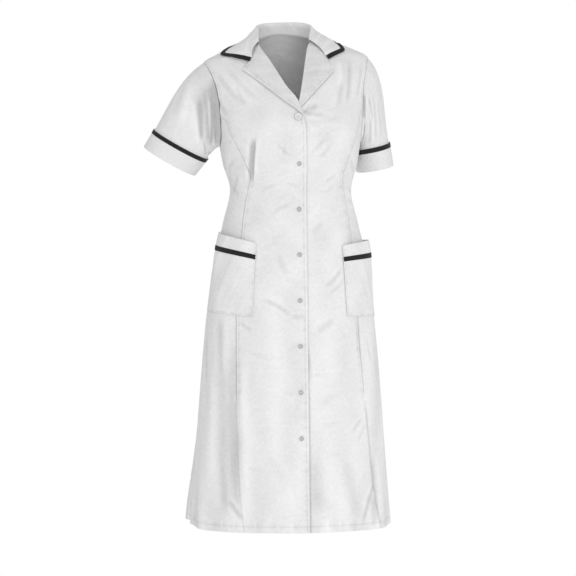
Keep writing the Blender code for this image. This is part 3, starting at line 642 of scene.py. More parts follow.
def add_mesh(name, points, faces, uvs=None):
    mesh = bpy.data.meshes.new(name)
    mesh.vertices.add(len(points))
    mesh.vertices.foreach_set("co", np.asarray(points, np.float32).ravel())
    mesh.loops.add(faces.size)
    mesh.loops.foreach_set("vertex_index", faces.ravel().astype(np.int32))
    mesh.polygons.add(len(faces))
    mesh.polygons.foreach_set("loop_start", np.arange(0, faces.size, faces.shape[1], dtype=np.int32))
    mesh.polygons.foreach_set("use_smooth", np.ones(len(faces), bool))
    mesh.update(calc_edges=True)
    if uvs is not None:
        layer = mesh.uv_layers.new(name="cloth")
        layer.data.foreach_set("uv", uvs[faces.ravel()].astype(np.float32).ravel())
    mesh.validate()
    obj = bpy.data.objects.new(name, mesh)
    bpy.context.scene.collection.objects.link(obj)
    return obj


def cloth_wall(name, grid, material, nodes, thickness=SHEET, closed=False, height=None):
    """A cloth piece from the points of its outer face: rows go up, columns towards the wearer's left.

    Height is how far each point stands out of the smooth cloth, with painted shade lines added to it in places. It is
    painted into the cloth's colour as shade: darker where low, lighter where high.
    """
    rows, columns = grid.shape[:2]
    normal = normals_of(grid, closed)
    back = grid - normal * thickness
    count = rows * columns
    faces = quads(rows, columns, closed)
    points = [grid.reshape(-1, 3), back.reshape(-1, 3)]
    all_faces = [faces, faces[:, ::-1] + count]
    out_round, out_up = np.gradient(grid, axis=1), np.gradient(grid, axis=0)
    start = 2 * count
    for loop in edge_loops(rows, columns, closed):
        i, j = np.array(loop).T
        away = np.zeros((len(loop), 3))
        for sign, on_edge, step in (
            (-1, i == 0, out_up), (1, i == rows - 1, out_up), (-1, (j == 0) & (not closed), out_round),
            (1, (j == columns - 1) & (not closed), out_round),
        ):
            unit = step[i, j] / np.maximum(np.linalg.norm(step[i, j], axis=1, keepdims=True), 1e-12)
            away += np.where(on_edge[:, None], sign * unit, 0)
        away /= np.maximum(np.linalg.norm(away, axis=1, keepdims=True), 1e-12)
        points.append((grid[i, j] + back[i, j]) / 2 + away * thickness * 0.4)
        here = i * columns + j
        after, rim = np.roll(here, -1), start + np.arange(len(loop))
        rim_after = np.roll(rim, -1)
        all_faces.append(np.stack([after, here, rim, rim_after], axis=1))
        all_faces.append(np.stack([rim_after, rim, here + count, after + count], axis=1))
        start += len(loop)
    points = np.concatenate(points)
    across, up = way_along(grid, 1), way_along(grid, 0)
    flat = np.stack([across.ravel(), up.ravel()], axis=1)
    uvs = np.concatenate([flat, flat] + [flat[[a * columns + b for a, b in loop]] for loop in edge_loops(rows, columns, closed)])
    obj = add_mesh(name, points, np.concatenate(all_faces), uvs)
    # Painted shade: the height, scaled and clipped, is stored for the cloth's colour, darkening troughs and lightening
    # ridges.
    level = np.zeros(count) if height is None else np.clip(height / (1.6 * MM), -2, 1).ravel()
    rims = [level[[a * columns + b for a, b in loop]] for loop in edge_loops(rows, columns, closed)]
    painted_crease_shade = obj.data.attributes.new("painted_crease_shade", "FLOAT", "POINT")
    painted_crease_shade.data.foreach_set("value", np.concatenate([level, level] + rims).astype(np.float32))
    obj.data.materials.append(material)
    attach(obj, "root")
    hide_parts(*nodes)
    return obj


# ---- Sewing

def beside(grid, edge, distance):
    """Points of the cloth at a distance from one of its edges: left, right, low or high."""
    turned = {"left": grid, "right": grid[:, ::-1], "low": np.swapaxes(grid, 0, 1), "high": np.swapaxes(grid, 0, 1)[:, ::-1]}[edge]
    normal = normals_of(grid)
    normal = {"left": normal, "right": normal[:, ::-1], "low": np.swapaxes(normal, 0, 1), "high": np.swapaxes(normal, 0, 1)[:, ::-1]}[edge]
    way = way_along(turned, 1)
    points, ups = [], []
    for row, path, lift in zip(way, turned, normal):
        points.append([np.interp(distance, row, path[:, axis]) for axis in range(3)])
        ups.append([np.interp(distance, row, lift[:, axis]) for axis in range(3)])
    return np.array(points), np.array(ups)


def stitches(name, lines, material, pitch=3.3 * MM, length=2.4 * MM, radius=0.20 * MM):
    """One object that holds every stitch of some sewn lines. A line is its points and their normals."""
    ring = np.arange(5) * 2 * math.pi / 5
    points, faces = [], []
    start = 0
    for path, up in lines:
        way = np.concatenate([[0], np.cumsum(np.linalg.norm(np.diff(path, axis=0), axis=1))])
        middles = np.arange(pitch / 2, way[-1], pitch)
        if not len(middles):
            continue
        place = lambda at, values: np.stack([np.interp(at, way, values[:, axis]) for axis in range(3)], axis=1)
        centre, lift = place(middles, path), place(middles, up)
        ahead = place(middles + length / 2, path) - place(middles - length / 2, path)
        ahead /= np.maximum(np.linalg.norm(ahead, axis=1, keepdims=True), 1e-9)
        lift -= ahead * np.sum(lift * ahead, axis=1, keepdims=True)
        lift /= np.linalg.norm(lift, axis=1, keepdims=True)
        side = np.cross(ahead, lift)
        rings = []
        for share, sunk in ((-0.5, 1.0), (-0.25, 0.0), (0.25, 0.0), (0.5, 1.0)):
            thin = radius * (0.45 if sunk else 1.0)
            middle = centre + ahead * share * length + lift * (0.10 * MM - 0.22 * MM * sunk)
            circle = side[:, None] * np.cos(ring)[None, :, None] + lift[:, None] * np.sin(ring)[None, :, None]
            rings.append(middle[:, None] + circle * thin)
        made = np.stack(rings, axis=1)
        points.append(made.reshape(-1, 3))
        stitch = np.arange(len(middles))[:, None, None] * 20 + start
        i, j = np.meshgrid(np.arange(3), np.arange(5), indexing="ij")
        k = (j + 1) % 5
        corner = np.stack([i * 5 + j, (i + 1) * 5 + j, (i + 1) * 5 + k, i * 5 + k], axis=-1).reshape(1, -1, 4)
        faces.append((stitch + corner).reshape(-1, 4))
        start += len(middles) * 20
    obj = add_mesh(name, np.concatenate(points), np.concatenate(faces))
    obj.data.materials.append(material)
    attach(obj, "root")
    return obj


def sewn_edge(distance, along, seed, inset=6.0 * MM):
    """Relief beside an edge that is sewn down at an inset: a full welt, a sunk line and small puckers."""
    welt = 0.30 * MM * np.sin(math.pi * np.clip(distance / inset, 0, 1)) ** 0.6
    sunk = -0.40 * MM * bump(distance - inset, 1.3 * MM)
    pull = 0.30 * MM * waver(along, seed, 0.030) * bump(distance - inset, 6.0 * MM)
    return welt + sunk + pull


def sewn_shade(height):
    """The shade of a sewn edge: its sunk lines show more than its raised ones."""
    return np.where(height < 0, 2.8, 0.5) * height


# ---- Panels of the body

def armhole_angle(z, width_deg):
    """How far the armhole reaches round from the side at each height, in radians."""
    middle, half = (SHOULDER_TIP_Z + UNDERARM_Z) / 2, (SHOULDER_TIP_Z - UNDERARM_Z) / 2
    level = np.clip((z - middle) / half, -1, 1)
    return math.radians(width_deg) * np.sqrt(1 - level**2)


def meeting_height():
    """Height of the armhole's point where the princess seam ends."""
    middle, half = (SHOULDER_TIP_Z + UNDERARM_Z) / 2, (SHOULDER_TIP_Z - UNDERARM_Z) / 2
    return middle - half * math.cos(MEETING_TURN)


def princess_angle(side_name, z):
    distance = curve_through(*column(PRINCESS, PRINCESS_SEAMS, side_name + "_x"), z)
    meeting_phi = math.pi / 2 - armhole_angle(meeting_height(), ARMHOLE_FRONT_DEG)
    knot_z = PRINCESS_SEAMS[-1][0]
    drawn = angle_at(distance, np.minimum(z, knot_z))
    share = np.clip((z - knot_z) / (meeting_height() - knot_z), 0, 1)
    return drawn + (meeting_phi - drawn) * share


def outer_front_angle(side_name, z):
    """The centre front's outer edge: princess seam, then armhole, then shoulder seam."""
    along_armhole = math.pi / 2 - armhole_angle(z, ARMHOLE_FRONT_DEG)
    return np.where(z < meeting_height() - 1e-9, princess_angle(side_name, z), along_armhole)


def front_edge_x(side_name, z):
    """The cut edge next to the centre front, as x, for the front of that side."""
    rolled = curve_through(*column(ROLL, ROLL_LINES, side_name + "_x"), z)
    sign = 1 if side_name == "right" else -1
    share = ease((z - (BREAK_Z - 0.03)) / 0.03)
    lapped = sign * (LAP + (LAP_AT_BREAK - LAP) * share)
    return np.where(z < BREAK_Z, lapped, rolled)


def lap_lift(x, z):
    """How far the right front is raised where it laps over the left one."""
    under_edge = front_edge_x("left", z)
    height = LAYER + 0.25 * MM + 2.2 * MM * ease((z + 0.225) / 0.045)
    return height * ease((x - under_edge + 0.035) / 0.033)


def pleat_lift(side_name, z):
    """The folded edge of each pleat stands a little proud of the side panel, the left one's more."""
    return (0.5 if side_name == "right" else 3.4) * MM * ease((PLEAT_Z - 0.03 - z) / 0.18)


def by_length(z, start, end, shares):
    """Angles at these shares of the way along each level section, from one angle to another."""
    fine = np.linspace(0, 1, 121)
    phi = start[:, None] + (end - start)[:, None] * fine
    points = level_point(phi, z[:, None])[..., :2]
    steps = np.linalg.norm(np.diff(points, axis=1), axis=2)
    length = np.concatenate([np.zeros((len(z), 1)), np.cumsum(steps, axis=1)], axis=1)
    return np.array([np.interp(np.asarray(shares) * way[-1], way, row) for way, row in zip(length, phi)])


def dense_rows(low, high, step=3.4 * MM, kept=()):
    """Heights at an even step that also hold the kept ones, and close ones at the hem."""
    heights = np.linspace(low, high, int((high - low) / step) + 1)
    hem = low + np.array([0.9, 1.8, 6.5, 8.5, 10.5, 11.8, 13.0, 14.2, 16.0]) * MM
    heights = np.concatenate([heights, hem[hem < high], [z for z in kept if low < z < high]])
    heights = np.unique(np.round(heights, 6))
    return heights[np.concatenate([[True], np.diff(heights) > 0.45 * MM])]


def edge_shares(width, count, inset=6.0 * MM):
    """Shares of a width, with close columns where both edges are sewn down."""
    near = np.array([0, 0.7, 1.8, 3.2, 4.6, 5.4, 6.0, 6.6, 7.4, 8.8, 11.0]) * MM * inset / (6.0 * MM) / width
    middle = np.linspace(near[-1], 1 - near[-1], count)[1:-1]
    return np.concatenate([near, middle, 1 - near[::-1]])


def edge_distances(grid):
    """Distance of each point from the grid's left and right edges, and along the edge."""
    way = way_along(grid, 1)
    return way, way[:, -1:] - way, way_along(grid, 0)


def front_panel(side_name):
    """(angles, heights, lifts) of a centre front from its princess seam to its cut edge."""
    side = -1 if side_name == "right" else 1
    z = dense_rows(HEM_Z, FRONT_TOP_Z, kept=(meeting_height(), BREAK_Z, SHOULDER_TIP_Z))
    outer = side * outer_front_angle(side_name, z)
    inner = angle_at(front_edge_x(side_name, z), z)
    phi = by_length(z, outer, inner, edge_shares(0.14, 54))
    x = level_point(phi, z[:, None])[..., 0]
    lift = lap_lift(x, z[:, None]) if side_name == "right" else np.zeros_like(x)
    fold = bump((np.abs(phi) - np.abs(outer)[:, None]) * 0.19, 0.012)
    return phi, z, lift + pleat_lift(side_name, z)[:, None] * fold


def lapel_shadow(side_name, x, z):
    """Depth of the shade on the front just outside its lapel's edge."""
    side = -1 if side_name == "right" else 1
    corner_x, corner_z = CORNERS[side_name]["lapel"]
    start_x = float(side * front_edge_x(side_name, BREAK_Z))
    run, climb = corner_x - start_x, corner_z - BREAK_Z
    length = math.hypot(run, climb)
    right, rise = side * x - start_x, z - BREAK_Z
    outside = (right * climb - rise * run) / length
    share = (right * run + rise * climb) / length**2
    return 2.6 * MM * bump(outside - 0.6 * MM, 2.6 * MM) * (outside > -1.5 * MM) * ease(share / 0.1) * ease((1.03 - share) / 0.05)


def make_centre_front(side_name, finish):
    phi, z, lift = front_panel(side_name)
    heights = z[:, None] + np.zeros_like(phi)
    plain = form(phi, heights)
    from_seam, from_edge, along = edge_distances(plain)
    seam = -0.9 * MM * bump(from_seam, 0.9 * MM) + sewn_edge(from_seam, along, 21)
    seam = seam * ease((PLEAT_Z - 0.01 - heights) / -0.02) + 0.4 * MM * ease((PLEAT_Z - heights) / 0.02) * bump(from_seam, 3 * MM)
    edge = sewn_edge(from_edge, along, 22, 6.0 * MM) * ease((BREAK_Z + 0.004 - heights) / 0.01)
    grid, height = surface(phi, heights, lift + CLOTH + seam + edge)
    # Painted shade along the princess seam above the pleat, and on the left front along the pleat's folded edge below
    # it.
    line = 1.3 * MM * bump(from_seam, 1.7 * MM) * ease((heights - PLEAT_Z) / 0.02)
    if side_name == "left":
        line = line + 2.6 * MM * bump(from_seam, 2.4 * MM) * ease((PLEAT_Z - heights) / 0.02)
    # The sewn edges' relief is painted as shade too, the sunk lines darker.
    grid, height = lean(grid), height + sewn_shade(seam + edge) - line
    # Painted shadow on the front just below the lapel's edge.
    height = height - lapel_shadow(side_name, level_point(phi, heights)[..., 0], heights)
    if side_name == "left":
        # Painted shadow on the left front beside the right front's lapped edge, stronger where the overlap parts and
        # low down.
        lap = level_point(phi, heights)[..., 0] - front_edge_x("right", heights)
        parted, low_down = bump(heights + 0.706, 0.024), ease((-0.735 - heights) / 0.05)
        reach = 1.9 * MM + 2.4 * MM * parted + 0.9 * MM * low_down
        under = bump(np.maximum(lap - 0.5 * MM, 0), reach) * ease((BREAK_Z - heights) / 0.02)
        overlap_shade_strength = 0.75 + 1.1 * parted + 0.65 * low_down
        height = height - 2.2 * MM * under * overlap_shade_strength
        grid, height = grid[:, ::-1], height[:, ::-1]
    piece = cloth_wall(
        "front_" + side_name + "_cloth", grid, finish["cloth"], ["front_" + side_name], height=height
    )
    outer, inner = ("left", "right") if side_name == "right" else ("right", "left")
    above_pleat, below_break = z > PLEAT_Z, z < BREAK_Z
    lines = [cut(beside(grid, outer, 6.0 * MM), above_pleat & (z < meeting_height()))]
    lines.append(cut(beside(grid, inner, 6.0 * MM), below_break))
    lines.append(beside(grid, "low", HEM_TURN))
    sewing = stitches("front_" + side_name + "_stitches", lines, finish["thread"])


def cut(line, keep):
    """The part of a sewn line where keep is true."""
    return line[0][keep], line[1][keep]


def make_side_front(side_name, finish):
    """The side panel from the princess seam to the side seam. Its edge is the pleat's underlay."""
    side = -1 if side_name == "right" else 1
    z = dense_rows(HEM_Z, meeting_height() - 0.4 * MM, kept=(UNDERARM_Z, PLEAT_Z))
    side_seam = math.pi / 2 - np.where(z > UNDERARM_Z, armhole_angle(z, ARMHOLE_FRONT_DEG), 0.0)
    seam = princess_angle(side_name, z)
    shares = np.union1d(edge_shares(0.10, 24), np.linspace(0.02, 0.36, 36))
    phi = by_length(z, seam, side_seam, shares)
    radius = np.linalg.norm(level_point(seam, z)[..., :2], axis=-1)
    underlay = 0.024 * ease((PLEAT_Z - z) / 0.065) / radius
    phi = phi - underlay[:, None] * np.interp(shares, (0, 0.12, 0.26), (1, 0.4, 0))
    sunk = LAYER * ease((PLEAT_Z + 0.025 - z) / 0.02)
    beyond = (phi - seam[:, None]) * 0.19
    lift = -sunk[:, None] * (1 - ease((beyond - 0.002) / 0.012))
    heights = z[:, None] + np.zeros_like(phi)
    from_seam, from_side, along = edge_distances(form(side * phi, heights))
    seams = -0.9 * MM * bump(from_seam, 0.9 * MM) * ease((heights - PLEAT_Z) / 0.02) - 0.7 * MM * bump(from_side, 1.1 * MM)
    pull = 0.35 * MM * waver(along, 31, 0.04) * (bump(from_side, 9 * MM) + bump(from_seam, 7 * MM))
    grid, height = surface(side * phi, heights, lift + CLOTH + seams + pull)
    beyond = (phi - seam[:, None]) * radius[:, None]
    # Painted shadow on the left side panel beside the pleat's folded edge, painted shade along the princess seam above
    # the pleat, and the seams' relief painted as shade.
    pleat_edge_shade = bump(np.maximum(beyond - 0.6 * MM, 0), 3.2 * MM) * ease((PLEAT_Z - heights) / 0.03)
    pleat_shade_share = 0.0 if side_name == "right" else 1.0
    line = 1.3 * MM * bump(from_seam, 1.7 * MM) * ease((heights - PLEAT_Z) / 0.02)
    grid, height = lean(grid), height + 1.5 * (seams + pull) - line - 3.2 * MM * pleat_shade_share * pleat_edge_shade
    if side < 0:
        grid, height = grid[:, ::-1], height[:, ::-1]
    piece = cloth_wall(
        "side_front_" + side_name + "_cloth", grid, finish["cloth"], ["side_front_" + side_name],
        height=height,
    )
    sewing = stitches("side_front_" + side_name + "_stitches", [beside(grid, "low", HEM_TURN)], finish["thread"])


def make_back(finish):
    z = dense_rows(HEM_Z, BACK_TOP_Z, step=3.7 * MM, kept=(UNDERARM_Z, SHOULDER_TIP_Z))
    in_armhole = (z > UNDERARM_Z) & (z < SHOULDER_TIP_Z)
    side_seam = math.pi / 2 + np.where(in_armhole, armhole_angle(z, ARMHOLE_BACK_DEG), 0.0)
    phi = by_length(z, side_seam, 2 * math.pi - side_seam, edge_shares(0.50, 106))
    heights = z[:, None] + np.zeros_like(phi)
    from_left, from_right, along = edge_distances(form(phi, heights))
    seams = -0.7 * MM * (bump(from_left, 1.1 * MM) + bump(from_right, 1.1 * MM))
    pull = 0.35 * MM * (waver(along, 41, 0.04) * bump(from_left, 9 * MM) + waver(along, 42, 0.04) * bump(from_right, 9 * MM))
    grid, height = surface(phi, heights, CLOTH + seams + pull)
    # The seams' relief and puckers are painted as shade in the cloth's colour.
    grid, height = lean(grid), height + 1.5 * (seams + pull)
    piece = cloth_wall("back_cloth", grid, finish["cloth"], ["back"], height=height)
    sewing = stitches("back_stitches", [beside(grid, "low", HEM_TURN)], finish["thread"])


# ---- Sleeves and cuffs

def armhole_ring(side, turn):
    """Points of the armhole: from the shoulder tip over the front to the underarm, and up the back."""
    middle = (SHOULDER_TIP_Z + UNDERARM_Z) / 2
    z = middle + (SHOULDER_TIP_Z - UNDERARM_Z) / 2 * np.cos(turn)
    reach = np.where(np.sin(turn) > 0, ARMHOLE_FRONT_DEG, ARMHOLE_BACK_DEG)
    phi = math.pi / 2 - np.radians(reach) * np.sin(turn)
    return form(side * phi, z)


def sleeve_frame(sleeve):
    """The hem ring's middle, the way out of the sleeve, and its directions across and to the front."""
    side = sleeve["side"]
    out, back = math.radians(sleeve["out_deg"]), math.radians(sleeve["back_deg"])
    axis = np.array([side * math.sin(out), math.tan(back), -math.cos(out)])
    axis /= np.linalg.norm(axis)
    across = np.array([side * math.cos(out), 0.0, math.sin(out)])
    fore = np.cross(axis, across)
    fore *= -np.sign(fore[1])
    return np.array(sleeve["hem"]), axis, across, fore


def hem_ring(sleeve, turn, up, grow=0.0):
    """A ring of the sleeve's straight lower part, a given way up from its hem."""
    middle, axis, across, fore = sleeve_frame(sleeve)
    widen = 1 + 0.04 * up / CUFF_HEIGHT
    cos, sin = np.cos(turn)[..., None], np.sin(turn)[..., None]
    grow = np.asarray(grow)[..., None] if np.ndim(grow) else grow
    ring = across * cos * (sleeve["across"] * widen + grow) + fore * sin * (sleeve["fore"] * widen + grow)
    return middle - axis * up + ring


def sleeve_rings(sleeve, turn, shares, ups):
    """Rings from the armhole to the hem. The cap leaves the shoulder along its slope."""
    side = sleeve["side"]
    start = armhole_ring(side, turn)
    end = hem_ring(sleeve, turn, CUFF_HEIGHT)
    axis = sleeve_frame(sleeve)[1]
    chord = end - start
    length = np.linalg.norm(chord, axis=-1, keepdims=True)
    slope = math.radians(23.5)
    shoulder = np.array([side * math.cos(slope), 0.0, -math.sin(slope)])
    top = ((1 + np.cos(turn)) / 2)[:, None]
    top_share = sleeve["cap"] * top**1.3
    away = np.array([side * 0.75, 0.0, 0.0]) * (1 - top) ** 0.7
    leave = chord / length * (1 - top_share) + shoulder * top_share + away
    leave /= np.linalg.norm(leave, axis=-1, keepdims=True)
    start = start + leave * (0.4 * MM + 2.2 * MM * (1 - top))
    rings = []
    for s in shares:
        rings.append(
            (1 + 2 * s) * (1 - s) ** 2 * start
            + s * (1 - s) ** 2 * leave * length
            + s * s * (3 - 2 * s) * end
            + s * s * (s - 1) * axis * length
        )
    rings += [hem_ring(sleeve, turn, up) for up in ups]
    return np.array(rings)


def make_sleeve(side_name, finish):
    sleeve = SLEEVES[side_name]
    side = sleeve["side"]
    turn = np.linspace(0, 2 * math.pi, 121)[:-1]
    near = np.array([0, 0.006, 0.016, 0.03, 0.045])
    shares = np.concatenate([near, np.linspace(0.06, 1, 50)])
    rings = sleeve_rings(sleeve, turn, shares, np.linspace(0.94, 0, 14) * CUFF_HEIGHT)
    girth = 2 * math.pi * (sleeve["across"] + sleeve["fore"]) / 2
    way = way_along(rings, 0)
    length = float(way[-1].mean())
    place = (np.broadcast_to(turn / (2 * math.pi) * girth, way.shape), way / way[-1:] * length)
    body = length - CUFF_HEIGHT
    rows = []
    for from_deg, from_share, to_deg, to_share, bow, half_width, height_mm in SLEEVE_CREASES[side_name]:
        ends = [(math.radians(a) / (2 * math.pi) * girth, share * body) for a, share in ((from_deg, from_share), (to_deg, to_share))]
        rows.append((*ends, bow, half_width, 1.3 * height_mm * MM))
    rows += crumple(seed=50 + side, count=150, width=girth, low=0.0, high=length)
    under_cuff = ease((body + 0.012 - place[1]) / 0.012)
    height = creases_at(rows, place, girth) * under_cuff
    height = height - 0.7 * MM * bump(way, 1.2 * MM) + 0.4 * MM * waver(place[0], 52, 0.05) * bump(way, 0.010)
    out = normals_of(rings, closed=True) * (1 if side < 0 else -1)
    if np.sum(out[30, 0] * np.array([side, 0, 0.5])) < 0:
        out = -out
    grid = lean(rings + out * (CLOTH + height)[..., None])
    # Painted shade on the sleeve near the armhole on its front, towards the underarm, where the body shades it; strong
    # on the right sleeve.
    near_body = bump(way - 8 * MM, 28 * MM) * bump(place[0] - 0.30 * girth, 0.15 * girth)
    height = height - (2.0 if side_name == "right" else 0.3) * MM * near_body
    outward = np.sum(normals_of(grid, True)[30, 0] * np.array([side, 0.0, 0.5])) > 0
    if not outward:
        grid, height = grid[:, ::-1], height[:, ::-1]
    piece = cloth_wall(
        "sleeve_" + side_name + "_cloth", grid, finish["cloth"], ["sleeve_" + side_name],
        closed=True, height=height,
    )


def make_cuff(side_name, finish):
    """The turned-back cuff round the sleeve's end, and the braid along its upper edge."""
    sleeve = SLEEVES[side_name]
    turn = np.linspace(0, 2 * math.pi, 121)[:-1]
    girth = 2 * math.pi * (sleeve["across"] + sleeve["fore"]) / 2
    around = turn / (2 * math.pi) * girth
    loose = 0.5 * MM * waver(around, 61, 0.09)
    rings = []
    for up, tuck in ((0.5, -1.3), (-0.9, -0.8), (-1.5, 0.0), (-1.2, 0.45)):
        rings.append(hem_ring(sleeve, turn, up * MM, 1.2 * LAYER + CLOTH + tuck * MM))
    for up in np.linspace(0.3 * MM, CUFF_HEIGHT, 22):
        soft = loose * math.sin(math.pi * up / CUFF_HEIGHT) * 0.6 + 0.15 * MM * waver(around + 3 * up, 62, 0.02)
        rings.append(hem_ring(sleeve, turn, up, 1.2 * LAYER + CLOTH + 0.45 * MM * ease((CUFF_HEIGHT - up) / 0.004) + soft))
    grid = lean(np.array(rings[::-1]))
    grid = facing_out(grid, sleeve["side"])
    piece = cloth_wall("cuff_" + side_name + "_cloth", grid, finish["cloth"], ["cuff_" + side_name], closed=True)
    rings = []
    for up, rise in ((0.0, -0.8), (0.25, -0.1), (0.8, 0.0), (2.5, 0.0), (5.0, 0.05), (7.5, 0.0), (9.2, 0.0), (9.75, -0.1), (10.0, -0.8)):
        rings.append(hem_ring(sleeve, turn, CUFF_HEIGHT - TRIM_WIDTH + up * MM, 2.2 * LAYER + RIBBON + rise * MM + loose * 0.3))
    grid = facing_out(lean(np.array(rings[::-1])), sleeve["side"])
    piece = cloth_wall("cuff_trim_" + side_name + "_braid", grid, finish["braid"], ["cuff_trim_" + side_name], 0.7 * MM, True)


def facing_out(grid, side):
    """Turns a stack of rings round if its faces point in."""
    middle = grid.mean(axis=1, keepdims=True)
    outward = np.sum(normals_of(grid, True) * (grid - middle), axis=2).mean() > 0
    return grid if outward else grid[:, ::-1]


# ---- Pockets

def pocket_place(pocket, u, v):
    """Angle, height and gape of the pocket: u from the inner edge to the side seam, v up from its foot."""
    top = pocket["top_inner"] + (pocket["top_outer"] - pocket["top_inner"]) * u
    low = pocket["low_inner"] + (pocket["low_outer"] - pocket["low_inner"]) * u
    z = low + (top - low) * v
    top_x, low_x = pocket["inner_x"]
    inner_x = low_x + (top_x - low_x) * v
    inner = angle_at(inner_x, z)
    phi = inner + (math.radians(POCKET_OUTER_DEG) - inner) * u
    gape = POCKET_BULGE * np.sin(math.pi * np.clip(u, 0, 1)) ** 0.9 * ease((v - 0.1) / 0.9)
    return pocket["side"] * phi, z, gape


def make_pocket(side_name, finish):
    pocket = POCKETS[side_name]
    height = pocket["top_inner"] - pocket["low_inner"]
    band, strip = POCKET_BAND, POCKET_BAND + TRIM_WIDTH
    u = edge_shares(0.125, 40, 2.5 * MM)[None, :]
    v = edge_shares(height, 46, 2.5 * MM)[:, None]
    phi, z, gape = pocket_place(pocket, u, v)
    from_top = (1 - v) * height + np.zeros_like(phi)
    from_foot = v * height + np.zeros_like(phi)
    from_inner, from_outer = u * 0.125 + np.zeros_like(phi), (1 - u) * 0.125 + np.zeros_like(phi)
    edges = sewn_edge(from_inner, from_foot, 71, 2.5 * MM) + sewn_edge(from_outer, from_foot, 72, 2.5 * MM)
    edges = edges + sewn_edge(from_foot, from_inner, 73, 2.5 * MM)
    soft = 0.5 * MM * waver(from_inner + 0.5 * from_foot, 74, 0.06) * np.sin(math.pi * u) * ease(v / 0.2)
    band_fold = 0.35 * MM * ease((band - from_top) / (1.0 * MM))
    grid, wear_and_shade = surface(phi, z, LAYER + 0.4 * MM + gape + CLOTH + edges + soft + band_fold)
    # Painted shade: the pocket's creases, sunk stitched edges and soft waves darken its low places and lighten its high
    # ones.
    grid, wear_and_shade = lean(grid), wear_and_shade + sewn_shade(edges) + soft
    if pocket["side"] < 0:
        grid, wear_and_shade = grid[:, ::-1], wear_and_shade[:, ::-1]
    piece = cloth_wall(
        "pocket_" + side_name + "_cloth", grid, finish["cloth"], ["pocket_" + side_name], height=wear_and_shade
    )
    inner, outer = ("right", "left") if pocket["side"] < 0 else ("left", "right")
    lines = [beside(grid, edge, 2.5 * MM) for edge in (inner, outer, "low")] + [beside(grid, "high", 21.0 * MM)]
    sewing = stitches("pocket_" + side_name + "_stitches", lines, finish["thread"])
    across = np.concatenate([[0, 0.25], np.linspace(0.8, 9.2, 7), [9.75, 10.0]]) * MM
    sunk = np.interp(across, np.array([0, 0.25, 0.8, 9.2, 9.75, 10.0]) * MM, np.array([-0.7, -0.1, 0, 0, -0.1, -0.7]) * MM)
    v = 1 - (strip - across)[:, None] / height
    u = np.linspace(0, 1, 56)[None, :]
    phi, z, gape = pocket_place(pocket, u, v)
    soft = 0.5 * MM * waver(u * 0.125 + 0.5 * v * height, 74, 0.06) * np.sin(math.pi * u) * ease(v / 0.2)
    grid = lean(surface(phi, z, 2 * LAYER + 0.4 * MM + gape + RIBBON + soft + sunk[:, None])[0])
    if pocket["side"] < 0:
        grid = grid[:, ::-1]
    piece = cloth_wall("pocket_trim_" + side_name + "_braid", grid, finish["braid"], ["pocket_trim_" + side_name], 0.7 * MM)


# ---- Lapels and collar

def lapel_outline(side_name, roll_z, t):
    """(x, z) on the lapel: at a height of its roll line, and t from there to its outer edge."""
    side = -1 if side_name == "right" else 1
    corner = CORNERS[side_name]
    low, high = BREAK_Z, corner["gorge"][1]
    s = np.clip((roll_z - low) / (high - low), 0, 1)
    roll_x = side * front_edge_x(side_name, roll_z)
    start_x = side * front_edge_x(side_name, np.full_like(s, low))
    outer_x = start_x + (corner["lapel"][0] - start_x) * s
    outer_z = low + (corner["lapel"][1] - low) * s
    x = roll_x + (outer_x - roll_x) * t
    z = roll_z + (outer_z - roll_z) * t
    at_notch = 0.62
    before = np.clip(t / at_notch, 0, 1)
    after = np.clip((t - at_notch) / (1 - at_notch), 0, 1)
    pull = s**4
    for axis, value in ((0, x), (1, z)):
        gorge, notch, tip = corner["gorge"][axis], corner["notch"][axis], corner["lapel"][axis]
        bent = gorge + (notch - gorge) * before + (tip - notch) * after
        value += (bent - (gorge + (tip - gorge) * t)) * pull
    return side * x, z


